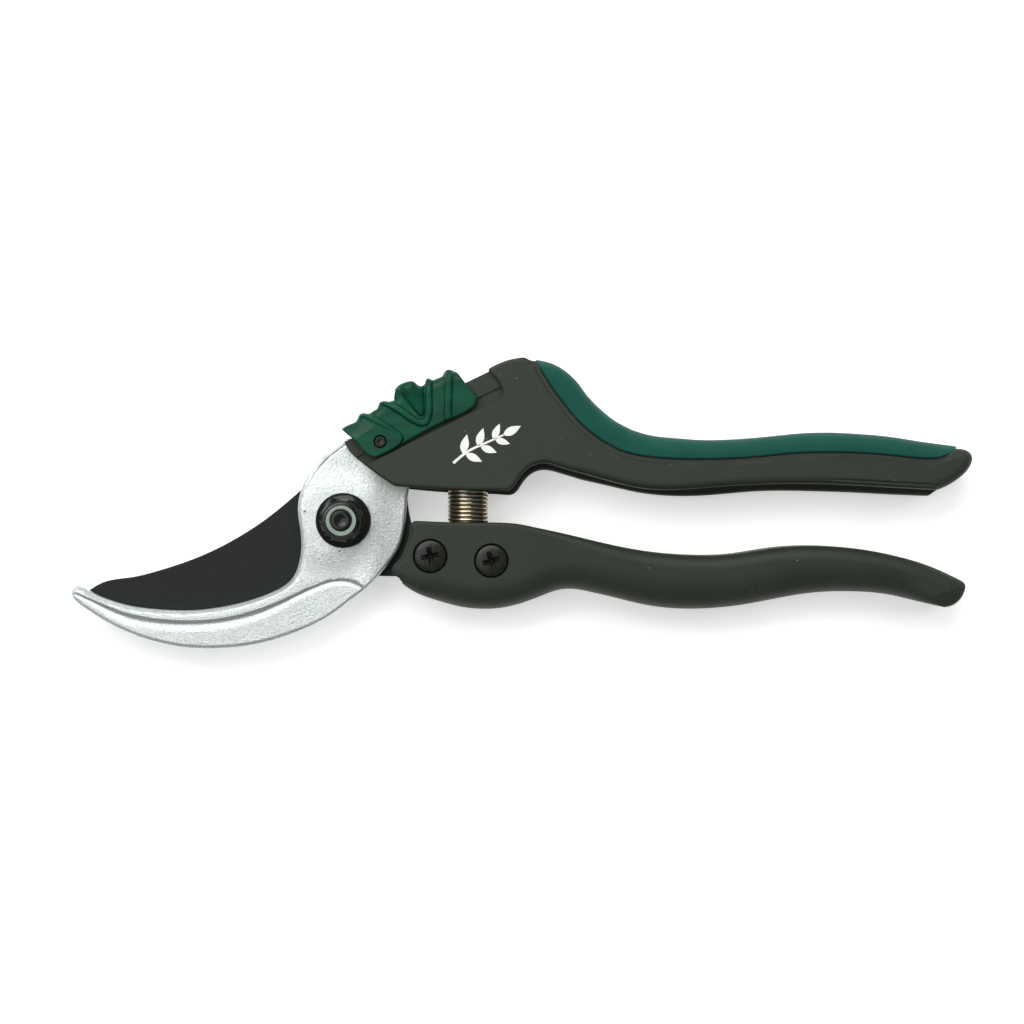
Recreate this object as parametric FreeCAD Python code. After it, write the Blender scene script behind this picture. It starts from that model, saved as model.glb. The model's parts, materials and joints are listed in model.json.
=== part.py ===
import FreeCAD, Part
import math
import os

# A bypass pruner, closed and locked, lying on its back. Millimetres.
# +X runs from the pivot towards the handles' ends, +Y from the lower handle to the upper one,
# and +Z along the pivot bolt, from its head to its nut. The origin is on the pivot's axis, in
# the plane that the tool lies on.

V = FreeCAD.Vector

# ---- driving dimensions -------------------------------------------------------------------

# The stack along the pivot, from the bolt's head up
HEAD_TOP = 4.0
WASHER_TOP = 5.2
RUNNING_GAP = 0.1
BLADE_THICKNESS = 3.0
HOOK_THICKNESS = 4.0
BLADE_BOTTOM = WASHER_TOP + RUNNING_GAP
BLADE_TOP = BLADE_BOTTOM + BLADE_THICKNESS
HOOK_BOTTOM = BLADE_TOP + RUNNING_GAP
HOOK_TOP = HOOK_BOTTOM + HOOK_THICKNESS

# Pivot fasteners: M6 bolt, flange nut with a nylon ring, bronze bushing
BOLT_D = 6.0
BOLT_TIP_CHAMFER = 0.6
HEX_FLATS = 10.0
FLANGE_D = 13.2
FLANGE_THICKNESS = 1.6
NUT_HEX_HEIGHT = 4.6
COLLAR_D = 8.4
COLLAR_HEIGHT = 2.0
INSERT_D = 7.4
INSERT_DEPTH = 1.8
INSERT_SUNK = 0.2
WASHER_D = 14.0
BUSHING_D = 10.0
BUSHING_CLEARANCE = 0.05
BOLT_HOLE_D = 6.1

# Handles
HANDLE_DEPTH = 16.5
SPLIT_Z = HOOK_BOTTOM
PAD_INSET = 0.6
PAD_HUMP_RISE = 0.3
SHELL_ROUND = 2.0
LOWER_ROUND = 3.0
LONG_EDGE = 50.0
HOOK_DISC_R = 14.75
CHEEK_R = 16.2
HEEL_R = 19.0
HEEL_POCKET_R = 19.5

# The lock's rail, and the travel of the slider along it
RAIL_ANGLE = 26.0
RAIL_START = (0.4, 18.6)
RAIL_LENGTH = 38.3
RAIL_RECESS = 2.0
LOCK_TRAVEL = 5.5
PIN_D = 2.8
PIN_SLOT_D = 3.4
PIN_AT = (9.1, 18.7)
SKIRT_PROUD = 0.5
SLIDE_GAP = 0.1
SKIRT_INSET = 0.3
RAIL_CLEARANCE = 0.3
FAR = 60.0
PIN_INSET_LOW = 0.5
PIN_INSET_HIGH = 0.3
LEAF_ROOM_Z = (5.8, 10.7)
LEAF_Z = (6.0, 10.5)

# Return spring
SPRING_X = 29.7
SPRING_Z = SPLIT_Z
SPRING_D = 9.8
SPRING_WIRE = 1.1
SPRING_PITCH = 1.17
SPRING_POCKET_D = 11.0
SPRING_LOW_Y = -5.5
SPRING_HIGH_Y = 15.7

# Screws
LOWER_SCREWS = [(20.9, -8.5, 11.0), (35.4, -9.6, 18.0)]
PAN_HEAD_D = 8.0
PAN_HEAD_HEIGHT = 2.6
COUNTERBORE_D = 8.3
HEAD_SUNK = 0.1
CROSS_SPAN = 4.8
CROSS_WIDTH = 1.0
CROSS_DEPTH = 1.6
M4 = 4.0
M4_HOLE = 4.3
M4_NUT_FLATS = 7.0
M4_NUT_HEIGHT = 3.2
NUT_SUNK = 0.4
UPPER_SCREWS = [(18.6, 12.5), (43.0, 27.0), (86.0, 10.9), (133.0, 11.3)]
M3 = 3.0
M3_HEAD_D = 5.5
M3_HEAD_HEIGHT = 2.0
M3_TOP = 13.0
LOCATING_PINS = [(22.0, 20.4), (35.0, 26.0)]
LOCATING_PIN_D = 4.0
LOCATING_PIN_ENDS = (4.4, 13.9)


# ---- helpers ------------------------------------------------------------------------------

def at_polar(radius, degrees):
    """A point on a circle about the pivot."""
    a = math.radians(degrees)
    return (radius * math.cos(a), radius * math.sin(a))


def along_rail(point, along, above=0.0):
    """A point moved along the lock's rail, and square to it."""
    a = math.radians(RAIL_ANGLE)
    return (point[0] + along * math.cos(a) - above * math.sin(a),
            point[1] + along * math.sin(a) + above * math.cos(a))


def edge(points, z):
    """A line through two points, an arc through three, or a smooth curve through more."""
    p = [V(x, y, z) for x, y in points]
    if len(p) == 2:
        return Part.LineSegment(p[0], p[1]).toShape()
    if len(p) == 3:
        return Part.Arc(p[0], p[1], p[2]).toShape()
    curve = Part.BSplineCurve()
    curve.interpolate(p)
    return curve.toShape()


def prism(runs, low, high):
    """A plate between two heights, its outline given run by run, each from the last one's end."""
    edges = []
    for i, run in enumerate(runs):
        start = runs[i - 1][-1]
        points = run if run[0] == start else [start] + run
        edges.append(edge(points, low))
    return Part.Face(Part.Wire(edges)).extrude(V(0, 0, high - low))


def polygon(points, low, high):
    """A plate with straight sides."""
    return Part.Face(Part.makePolygon([V(x, y, low) for x, y in points + points[:1]])).extrude(
        V(0, 0, high - low))


def rod(x, y, d, low, high):
    """A round rod along Z."""
    return Part.makeCylinder(d / 2, high - low, V(x, y, low))


def hexagon(x, y, flats, low, high, turn=0.0):
    """A hexagonal prism along Z."""
    r = flats / math.sqrt(3)
    corners = [(x + r * math.cos(math.radians(turn + 60 * i)),
                y + r * math.sin(math.radians(turn + 60 * i))) for i in range(6)]
    return polygon(corners, low, high)


def capsule(a, b, d, low, high):
    """A slot's shape: a band with round ends from a to b."""
    dx, dy = b[0] - a[0], b[1] - a[1]
    length = math.hypot(dx, dy)
    nx, ny = -dy / length * d / 2, dx / length * d / 2
    band = polygon([(a[0] + nx, a[1] + ny), (b[0] + nx, b[1] + ny),
                    (b[0] - nx, b[1] - ny), (a[0] - nx, a[1] - ny)], low, high)
    return band.fuse([rod(*a, d, low, high), rod(*b, d, low, high)]).removeSplitter()


def rounded(shape, radius, heights, chosen=lambda edge: True):
    """A plate with its rims at the given heights rounded, or only the chosen edges of them."""
    rims = [e for e in shape.Edges if chosen(e) and any(
        abs(e.BoundBox.ZMin - z) < 1e-6 and abs(e.BoundBox.ZMax - z) < 1e-6 for z in heights)]
    return shape.makeFillet(radius, rims)


def minus(shape, *tools):
    """A shape with others cut away."""
    for tool in tools:
        shape = shape.cut(tool)
    return shape


# ---- outlines -----------------------------------------------------------------------------

RAIL_END = along_rail(RAIL_START, RAIL_LENGTH)
PIN_OPEN = along_rail(PIN_AT, LOCK_TRAVEL)

HOOK_OUTLINE = [
    # Round the tip and along the back of the jaw
    [(-64.1, -15.7), (-65.1, -17.6), (-63.4, -20.1)],
    [(-53.5, -26.1), (-43.5, -29.5), (-31.0, -30.8), (-19.3, -29.3), (-8.0, -25.3), (1.6, -19.1),
     (6.6, -15.0), at_polar(HOOK_DISC_R, -46)],
    # Round the pivot, and into the upper handle
    [at_polar(HOOK_DISC_R, -23), at_polar(HOOK_DISC_R, 0)],
    [(15.7, 8.1)],
    [(19.5, 13.5)],
    [(23.0, 17.2)],
    [(38.5, 22.5)],
    [(38.5, 30.5)],
    [(37.0, 32.0)],
    [(18.5, 24.5)],
    # Under the lock pin's path
    [(16.8, 22.5)],
    [(15.3, 19.8)],
    [(8.4, 16.4)],
    [(6.4, 17.6)],
    [(4.5, 19.3)],
    [(0.3, 19.2)],
    # The inner edge, back to the tip
    [(-4.6, 15.4), (-8.6, 10.5), (-10.8, 4.4), (-10.1, -4.4), (-11.2, -11.9), (-14.8, -16.0)],
    [(-22.6, -19.2), (-32.0, -21.2), (-42.0, -21.5), (-52.7, -20.1), (-58.0, -18.2), (-64.1, -15.7)],
]

BLADE_OUTLINE = [
    # The back, from the tip to the pivot
    [(-60.8, -17.2), (-57.0, -14.8), (-46.2, -12.5), (-33.3, -8.0), (-24.7, -3.5), (-9.4, 8.3),
     (-5.0, 12.0), (0.0, 15.5), at_polar(HEEL_R, 78)],
    # The heel that carries the lock's catch
    [at_polar(HEEL_R, 66), at_polar(HEEL_R, 54)],
    [(14.9, 9.2), (15.2, 4.0), (16.0, -0.7), (18.0, -3.6)],
    # The tang
    [(23.0, -5.8)],
    [(44.0, -6.6)],
    [(46.5, -10.0), (44.0, -14.0)],
    [(13.3, -13.5)],
    [(8.5, -13.4)],
    # The cutting edge
    [(0.0, -14.2), (-8.0, -15.4), (-16.0, -19.2), (-24.0, -22.5), (-34.0, -24.3), (-44.0, -24.0),
     (-54.0, -21.3), (-60.8, -17.2)],
]

SHELL_TOP = [
    # Round the end, under the grip pad and over the hump
    [(146.5, 9.9), (149.9, 13.7), (149.4, 16.3), (145.9, 17.1)],
    [(141.5, 15.0), (134.0, 15.2), (123.3, 16.1), (106.2, 15.9), (88.9, 14.6), (73.1, 15.1),
     (61.2, 19.3), (52.5, 28.0), (46.3, 37.9)],
    [(43.8, 38.7), (39.8, 38.0), RAIL_END],
    # The rail
    [RAIL_START],
    # The front edge, round the hook's disc
    [(2.4, 15.6), (5.8, 12.9), (12.4, 8.2)],
]
FRONT_SHELL = [[(12.4, 8.2), (38.9, 7.0)],
               [(43.0, 11.4), (48.1, 13.7), (57.2, 11.2), (71.1, 7.7), (83.0, 7.3), (99.5, 8.5),
                (117.6, 8.7), (141.7, 7.3)]] + SHELL_TOP
REAR_SHELL = [[(12.4, 8.2), (16.1, 7.4)],
              [(39.8, 6.2)],
              [(43.4, 9.8), (47.9, 12.2), (57.2, 9.9), (71.1, 6.6), (82.8, 5.8), (99.5, 6.9),
               (117.6, 7.0), (140.1, 5.8)]] + SHELL_TOP

PAD_OUTLINE = [
    [(46.3, 37.9), (52.5, 28.0), (61.2, 19.3), (73.1, 15.1), (88.9, 14.6), (106.2, 15.9),
     (123.3, 16.1), (134.0, 15.2), (141.5, 15.0), (145.9, 17.1)],
    [(145.9, 17.8)],
    [(130.6, 20.0), (116.2, 21.1), (101.9, 20.2), (87.0, 19.2), (73.2, 20.4), (64.0, 24.6),
     (58.0, 30.2), (52.5, 36.2), (46.3, 38.4)],
    [(46.3, 37.9)],
]

LOWER_HANDLE_OUTLINE = [
    # The cheeks' hollow round the pivot
    [(17.1, -0.4), at_polar(CHEEK_R, -2)],
    [at_polar(CHEEK_R, -22), at_polar(CHEEK_R, -43)],
    [(12.1, -12.4)],
    [(13.8, -14.2)],
    [(16.6, -16.8)],
    # The palm side
    [(22.5, -19.3), (33.4, -21.2), (42.7, -19.9), (53.0, -16.5), (63.7, -18.3), (79.0, -21.0),
     (92.4, -20.7), (106.7, -18.1), (121.0, -17.1), (133.8, -18.4), (143.3, -20.8)],
    [(146.9, -18.9), (147.8, -14.5)],
    # The finger side
    [(140.1, -10.9), (130.6, -8.1), (116.2, -6.2), (104.0, -6.4), (92.4, -8.1), (80.0, -8.3),
     (61.3, -5.2), (48.0, -2.1), (37.0, -0.5)],
    [(17.1, -0.4)],
]

RECESS = [(-2.0, 13.5), (5.8, 13.4), (31.6, 26.2), (35.8, 28.0), (37.9, 30.6), (37.5, 32.4),
          (34.9, 35.8), (33.0, 40.0), (-4.0, 24.0)]

SLIDER = [(-0.1, 21.9), (0.9, 20.7), (3.3, 18.7), (6.9, 15.1), (7.7, 14.9), (31.0, 26.9),
          (31.8, 28.6), (27.4, 35.1), (26.4, 35.0)]
KNOB = [(12.6, 29.0), (12.5, 31.2), (15.7, 32.9), (18.5, 31.8), (19.3, 26.0)]
RIBS = [[(3.8, 24.4), (12.1, 21.6), (14.2, 18.9)],
        [(8.8, 27.0), (18.8, 22.9), (20.4, 31.9)],
        [(25.1, 24.6), (25.3, 34.4)]]
RIB_WIDTH = 1.6
RIB_HEIGHT = 0.7


# ---- the jaws -----------------------------------------------------------------------------

def hook_blade():
    """The fixed jaw: a forged hook whose tang is clamped in the upper handle."""
    holes = [rod(0, 0, BOLT_HOLE_D, HOOK_BOTTOM, HOOK_TOP)]
    for x, y in LOCATING_PINS:
        holes.append(rod(x, y, LOCATING_PIN_D, HOOK_BOTTOM, HOOK_TOP))
    holes.append(rod(*UPPER_SCREWS[0], M3, HOOK_BOTTOM, HOOK_TOP))
    return minus(prism(HOOK_OUTLINE, HOOK_BOTTOM, HOOK_TOP), *holes)


def cutting_blade():
    """The moving jaw, its heel notched where the lock's pin stands, its tang drilled twice."""
    holes = [rod(0, 0, BUSHING_D, BLADE_BOTTOM, BLADE_TOP),
             rod(*PIN_AT, 2 * (PIN_D - RUNNING_GAP), BLADE_BOTTOM, BLADE_TOP)]
    for x, y, _ in LOWER_SCREWS:
        holes.append(rod(x, y, M4_HOLE, BLADE_BOTTOM, BLADE_TOP))
    return minus(prism(BLADE_OUTLINE, BLADE_BOTTOM, BLADE_TOP), *holes)


# ---- the pivot ----------------------------------------------------------------------------

NUT_TOP = HOOK_TOP + FLANGE_THICKNESS + NUT_HEX_HEIGHT + COLLAR_HEIGHT


def pivot_bolt():
    """M6 bolt with a flat hexagonal head and a chamfered end."""
    tip = NUT_TOP - BOLT_TIP_CHAMFER
    end = Part.makeCone(BOLT_D / 2, BOLT_D / 2 - BOLT_TIP_CHAMFER, BOLT_TIP_CHAMFER,
                        V(0, 0, tip - BOLT_TIP_CHAMFER))
    shank = rod(0, 0, BOLT_D, HEAD_TOP, tip - BOLT_TIP_CHAMFER)
    return hexagon(0, 0, HEX_FLATS, 0, HEAD_TOP, 22).fuse([shank, end]).removeSplitter()


def pivot_washer():
    """Hard washer between the bolt's head and the cutting blade."""
    return rod(0, 0, WASHER_D, HEAD_TOP, WASHER_TOP).cut(
        rod(0, 0, BOLT_HOLE_D, HEAD_TOP, WASHER_TOP))


def pivot_bushing():
    """Bronze bushing pressed into the cutting blade, turning on the bolt."""
    bore = BOLT_D + 2 * BUSHING_CLEARANCE
    return rod(0, 0, BUSHING_D, BLADE_BOTTOM, BLADE_TOP).cut(
        rod(0, 0, bore, BLADE_BOTTOM, BLADE_TOP))


def pivot_nut():
    """M6 flange nut with a collar that holds the nylon ring."""
    hex_bottom = HOOK_TOP + FLANGE_THICKNESS
    hex_top = hex_bottom + NUT_HEX_HEIGHT
    body = rod(0, 0, FLANGE_D, HOOK_TOP, hex_bottom).fuse([
        hexagon(0, 0, HEX_FLATS, hex_bottom, hex_top, -8),
        rod(0, 0, COLLAR_D, hex_top, NUT_TOP)])
    return minus(body, rod(0, 0, BOLT_D, HOOK_TOP, NUT_TOP),
                 rod(0, 0, INSERT_D, NUT_TOP - INSERT_DEPTH, NUT_TOP))


def pivot_nut_insert():
    """The nylon ring that stops the nut from working loose."""
    return rod(0, 0, INSERT_D, NUT_TOP - INSERT_DEPTH, NUT_TOP - INSERT_SUNK).cut(
        rod(0, 0, BOLT_D, NUT_TOP - INSERT_DEPTH, NUT_TOP))


# ---- the upper handle ---------------------------------------------------------------------

def spring_pocket(low, high):
    """The round pocket that holds one end of the return spring."""
    return Part.makeCylinder(SPRING_POCKET_D / 2, high - low, V(SPRING_X, low, SPRING_Z),
                             V(0, 1, 0))


def upper_screw_hole(x, y):
    """A screw's shank and its sunk head, from the rear face."""
    return rod(x, y, M3, 0, M3_TOP).fuse(rod(x, y, M3_HEAD_D, 0, M3_HEAD_HEIGHT + NUT_SUNK))


def shell_tools():
    """What both shells have cut away: the pin's slot, the spring's pocket and the screw holes."""
    tools = [capsule(PIN_AT, PIN_OPEN, PIN_SLOT_D, 0, HANDLE_DEPTH),
             spring_pocket(0, SPRING_HIGH_Y),
             polygon(RECESS, HANDLE_DEPTH - RAIL_RECESS, HANDLE_DEPTH),
             polygon(RECESS, 0, RAIL_RECESS)]
    tools += [upper_screw_hole(x, y) for x, y in UPPER_SCREWS]
    tools += [rod(x, y, LOCATING_PIN_D, *LOCATING_PIN_ENDS) for x, y in LOCATING_PINS]
    return tools


def upper_handle_front():
    """The shell on the nut's side, hollowed to the hook's tang."""
    tang = prism(HOOK_OUTLINE, HOOK_BOTTOM, HOOK_TOP)
    shell = rounded(prism(FRONT_SHELL, SPLIT_Z, HANDLE_DEPTH), SHELL_ROUND, [HANDLE_DEPTH])
    return minus(shell, tang, *shell_tools())


def upper_handle_rear():
    """The shell on the bolt's side, with room for the cutting blade's heel."""
    heel_room = rod(0, 0, 2 * HEEL_POCKET_R, WASHER_TOP, SPLIT_Z)
    shell = rounded(prism(REAR_SHELL, 0, SPLIT_Z), SHELL_ROUND, [0])
    return minus(shell, heel_room, *shell_tools())


def grip_pad():
    """The soft pad along the back of the upper handle."""
    heights = [PAD_INSET, HANDLE_DEPTH - PAD_INSET]
    hump_y = PAD_OUTLINE[0][0][1]
    return rounded(prism(PAD_OUTLINE, *heights), SHELL_ROUND, heights,
                   lambda e: e.Length > LONG_EDGE and e.BoundBox.YMax > hump_y + PAD_HUMP_RISE)


def upper_handle_screw(x, y):
    """A screw from the rear face that clamps the shells together."""
    head = rod(x, y, M3_HEAD_D, NUT_SUNK, NUT_SUNK + M3_HEAD_HEIGHT)
    return head.fuse(rod(x, y, M3, NUT_SUNK + M3_HEAD_HEIGHT, M3_TOP))


def hook_locating_pin(x, y):
    """A dowel through the hook's tang."""
    return rod(x, y, LOCATING_PIN_D, *LOCATING_PIN_ENDS)


def return_spring():
    """Closely wound compression spring, its axis across the handles."""
    height = SPRING_HIGH_Y - SPRING_LOW_Y - SPRING_WIRE
    coil_r = (SPRING_D - SPRING_WIRE) / 2
    path = Part.makeHelix(SPRING_PITCH, height, coil_r)
    section = Part.Wire(Part.makeCircle(SPRING_WIRE / 2, V(coil_r, 0, 0), V(0, 1, 0)))
    coil = Part.Wire(path).makePipeShell([section], True, True)
    coil.rotate(V(0, 0, 0), V(1, 0, 0), -90)
    coil.translate(V(SPRING_X, SPRING_LOW_Y + SPRING_WIRE / 2, SPRING_Z))
    return coil


# ---- the lock -----------------------------------------------------------------------------

def rib(points, low, high):
    """A raised rib along a path of straight runs."""
    parts = [capsule(a, b, RIB_WIDTH, low, high) for a, b in zip(points, points[1:])]
    return parts[0].fuse(parts[1:]).removeSplitter() if len(parts) > 1 else parts[0]


def lock_slider():
    """The thumb slider: a cap over the rail, with a skirt on each side."""
    skirt_low, skirt_high = SKIRT_INSET, HANDLE_DEPTH + SKIRT_PROUD
    body = polygon(SLIDER, skirt_low, skirt_high)
    body = body.fuse(polygon(KNOB, skirt_low, skirt_high + RIB_HEIGHT))
    body = body.fuse([rib(r, HANDLE_DEPTH, skirt_high + RIB_HEIGHT) for r in RIBS])
    under = [along_rail(RAIL_START, a, h)
             for a, h in ((-FAR, RAIL_CLEARANCE), (FAR, RAIL_CLEARANCE), (FAR, -FAR), (-FAR, -FAR))]
    channel = polygon(under, RAIL_RECESS - SLIDE_GAP, HANDLE_DEPTH - RAIL_RECESS + SLIDE_GAP)
    pin_hole = rod(*PIN_AT, PIN_D, 0, skirt_high + RIB_HEIGHT)
    return minus(body, channel, detent_room(), pin_hole).removeSplitter()


def detent_room():
    """The slot under the slider's top that holds the leaf spring."""
    corners = [along_rail(RAIL_START, a, h) for a, h in ((8, 0.2), (23, 0.2), (23, 1.7), (8, 1.7))]
    return polygon(corners, *LEAF_ROOM_Z)


def lock_detent_spring():
    """A bowed leaf that presses on the rail and makes the slider click."""
    upper = [along_rail(RAIL_START, a, h) for a, h in ((8.5, 1.7), (15.5, 0.85), (22.5, 1.7))]
    lower = [along_rail(RAIL_START, a, h) for a, h in ((22.5, 1.3), (15.5, 0.45), (8.5, 1.3))]
    return prism([upper, [lower[0]], lower[1:], [upper[0]]], *LEAF_Z)


def lock_pin():
    """The pin that stands in the cutting blade's catch when the lock is shut."""
    return rod(*PIN_AT, PIN_D, PIN_INSET_LOW, HANDLE_DEPTH + SKIRT_PROUD - PIN_INSET_HIGH)


# ---- the lower handle ---------------------------------------------------------------------

def lower_handle():
    """The moving handle, slotted for the cutting blade's tang."""
    tools = [prism(BLADE_OUTLINE, BLADE_BOTTOM, BLADE_TOP), spring_pocket(SPRING_LOW_Y, 1.0)]
    for x, y, turn in LOWER_SCREWS:
        tools.append(rod(x, y, M4_HOLE, 0, HANDLE_DEPTH))
        tools.append(rod(x, y, COUNTERBORE_D, HANDLE_DEPTH - PAN_HEAD_HEIGHT, HANDLE_DEPTH))
        tools.append(hexagon(x, y, M4_NUT_FLATS, 0, M4_NUT_HEIGHT + NUT_SUNK, turn))
    body = rounded(prism(LOWER_HANDLE_OUTLINE, 0, HANDLE_DEPTH), LOWER_ROUND, [0, HANDLE_DEPTH],
                   lambda e: e.Length > LONG_EDGE)
    return minus(body, *tools)


def lower_handle_screw(x, y, turn):
    """An M4 pan-head screw with a cross recess."""
    top = HANDLE_DEPTH - HEAD_SUNK
    head = rod(x, y, PAN_HEAD_D, HANDLE_DEPTH - PAN_HEAD_HEIGHT, top)
    screw = head.fuse(rod(x, y, M4, NUT_SUNK, HANDLE_DEPTH - PAN_HEAD_HEIGHT))
    for quarter in (0, 90):
        slot = Part.makeBox(CROSS_SPAN, CROSS_WIDTH, CROSS_DEPTH,
                            V(x - CROSS_SPAN / 2, y - CROSS_WIDTH / 2, top - CROSS_DEPTH))
        slot.rotate(V(x, y, 0), V(0, 0, 1), turn + quarter)
        screw = screw.cut(slot)
    return screw.removeSplitter()


def lower_handle_nut(x, y, turn):
    """A screw's nut, sunk in the rear face."""
    nut = hexagon(x, y, M4_NUT_FLATS, NUT_SUNK, NUT_SUNK + M4_NUT_HEIGHT, turn)
    return nut.cut(rod(x, y, M4, 0, HANDLE_DEPTH))


# ---- the nodes ----------------------------------------------------------------------------

SINGLE = [hook_blade, cutting_blade, pivot_bolt, pivot_washer, pivot_bushing, pivot_nut,
          pivot_nut_insert, upper_handle_front, upper_handle_rear, grip_pad, return_spring,
          lock_slider, lock_detent_spring, lock_pin, lower_handle]
REPEATED = [(upper_handle_screw, UPPER_SCREWS), (hook_locating_pin, LOCATING_PINS),
            (lower_handle_screw, LOWER_SCREWS), (lower_handle_nut, LOWER_SCREWS)]

nodes = {make.__name__: make() for make in SINGLE}
for make, places in REPEATED:
    for number, place in enumerate(places, 1):
        nodes[make.__name__ + "_" + str(number)] = make(*place)

os.makedirs("parts", exist_ok=True)
for name, shape in nodes.items():
    shape.exportStep("parts/" + name + ".step")
    print(name, "solids", len(shape.Solids), "valid", shape.isValid(), round(shape.Volume, 1))
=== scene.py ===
"""A bypass pruner's finished look, built round its packed frame. Outlines are in millimetres in
the frame's own axes: +X towards the handles' ends, +Y towards the upper handle, +Z up the pivot."""
import json
import math

import bmesh
import bpy
import numpy as np
from bpy.props import FloatProperty, FloatVectorProperty, PointerProperty
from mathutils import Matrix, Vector


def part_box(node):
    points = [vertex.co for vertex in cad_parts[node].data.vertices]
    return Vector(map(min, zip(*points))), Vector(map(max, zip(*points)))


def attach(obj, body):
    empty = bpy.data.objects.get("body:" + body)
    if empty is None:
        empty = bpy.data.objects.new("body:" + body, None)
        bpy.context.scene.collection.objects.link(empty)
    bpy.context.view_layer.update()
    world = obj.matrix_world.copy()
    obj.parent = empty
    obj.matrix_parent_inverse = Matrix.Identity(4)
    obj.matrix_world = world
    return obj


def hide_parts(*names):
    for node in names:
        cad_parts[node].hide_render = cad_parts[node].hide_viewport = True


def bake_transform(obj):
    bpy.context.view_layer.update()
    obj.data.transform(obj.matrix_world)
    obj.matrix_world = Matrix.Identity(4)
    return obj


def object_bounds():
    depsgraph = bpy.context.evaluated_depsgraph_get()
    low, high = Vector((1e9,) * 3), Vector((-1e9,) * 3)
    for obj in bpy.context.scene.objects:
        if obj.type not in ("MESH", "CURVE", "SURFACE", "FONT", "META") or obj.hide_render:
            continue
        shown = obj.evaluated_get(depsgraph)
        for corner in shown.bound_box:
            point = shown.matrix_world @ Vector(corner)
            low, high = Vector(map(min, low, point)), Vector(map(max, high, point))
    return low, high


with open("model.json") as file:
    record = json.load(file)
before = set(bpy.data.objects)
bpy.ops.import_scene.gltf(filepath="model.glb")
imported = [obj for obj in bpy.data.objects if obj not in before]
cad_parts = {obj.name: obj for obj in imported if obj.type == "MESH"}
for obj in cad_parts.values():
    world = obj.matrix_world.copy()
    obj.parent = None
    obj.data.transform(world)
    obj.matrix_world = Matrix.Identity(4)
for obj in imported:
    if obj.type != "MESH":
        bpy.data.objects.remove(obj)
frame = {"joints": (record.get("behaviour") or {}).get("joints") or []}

bl_info = {
    "name": "Bypass Pruner",
    "version": (1, 0, 0),
    "blender": (4, 5, 0),
    "location": "3D View > Sidebar > Pruner",
    "description": "Builds the jaws, pivot, lock, handles and studio of a bypass pruner",
    "category": "Add Mesh",
}

MM = 0.001
cad_low, cad_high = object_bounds()


# ---- what the frame says ------------------------------------------------------------------

def heights(node):
    """The lowest and highest Z of a CAD node, in millimetres."""
    low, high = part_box(node)
    return low[2] / MM, high[2] / MM


def centre_of(node):
    """The middle of a CAD node's box, in millimetres."""
    low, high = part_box(node)
    return [(a + b) / 2 / MM for a, b in zip(low, high)]


HOOK_LOW, HOOK_HIGH = heights("hook_blade")
BLADE_LOW, BLADE_HIGH = heights("cutting_blade")
HANDLE_LOW, HANDLE_HIGH = heights("lower_handle")
SPLIT = heights("upper_handle_front")[0]
NUT_LOW, NUT_HIGH = heights("pivot_nut")
PIN_X, PIN_Y, _ = centre_of("lock_pin")
SPRING_X, _, SPRING_Z = centre_of("return_spring")
SPRING_ENDS = [corner[1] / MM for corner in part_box("return_spring")]

# ---- sizes that pieces share or fit to each other, in millimetres -------------------------

RAIL_ANGLE = math.radians(26.0)
BOLT_BORE = 3.05
BUSHING_RADIUS = 5.0
DOWEL_RADIUS = 2.0
SPRING_POCKET_RADIUS = 5.5
SHELL_SCREW_RADIUS, SHELL_SCREW_HEAD, SHELL_SCREW_SEAT = 1.5, 2.7, 2.8
HANDLE_SCREW_RADIUS, HANDLE_SCREW_HOLE = 2.0, 2.15
HANDLE_SCREW_HEAD, HANDLE_SCREW_SEAT = 3.88, 4.05
HANDLE_NUT_FLATS = 7.0
# Half widths of the lock pin's slot in the shells and of its catch in the cutting blade
PIN_SLOT, PIN_CATCH = 1.7, 2.7
# How far the blade's heel reaches from the pivot, with its clearance
HEEL_SWEEP = 19.5
# The handle screws' numbers, each with the degrees that its cross is turned by
HANDLE_SCREW_TURNS = ((1, 11), (2, 18))


# ---- curves and grids ---------------------------------------------------------------------

def smooth(points, fractions):
    """Points of a smooth curve through the given ones, at fractions of its length. Each
    coordinate is a natural cubic of the chord length walked, then evened out by arc length."""
    p = np.array(points, float)
    fractions = np.asarray(fractions, float)
    h = np.hypot(*np.diff(p, axis=0).T)
    knots = np.r_[0.0, np.cumsum(h)]
    bends = np.zeros_like(p)
    if len(p) > 2:
        inner = np.diag(2 * (h[:-1] + h[1:])) + np.diag(h[1:-1], 1) + np.diag(h[1:-1], -1)
        bends[1:-1] = np.linalg.solve(inner, 6 * np.diff(np.diff(p, axis=0) / h[:, None], axis=0))

    def at(t):
        k = np.clip(np.searchsorted(knots, t, side="right") - 1, 0, len(h) - 1)
        a = ((knots[k + 1] - t) / h[k])[:, None]
        b = 1 - a
        return (a * p[k] + b * p[k + 1]
                + ((a ** 3 - a) * bends[k] + (b ** 3 - b) * bends[k + 1]) * h[k][:, None] ** 2 / 6)

    t = np.linspace(0, knots[-1], 40 * len(p))
    walked = np.r_[0.0, np.cumsum(np.hypot(*np.diff(at(t), axis=0).T))]
    return at(np.interp(fractions * walked[-1], walked, t))


def chain(runs, counts):
    """Smooth runs end to end, each with its own number of steps, closer at the two far ends."""
    parts = []
    for i, (run, count) in enumerate(zip(runs, counts)):
        t = np.linspace(0, 1, count + 1)
        if i == 0:
            t = t ** 1.35
        if i == len(runs) - 1:
            t = 1 - (1 - t) ** 1.35
        parts.append(smooth(run, t)[0 if i == 0 else 1:])
    return np.concatenate(parts)


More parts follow.
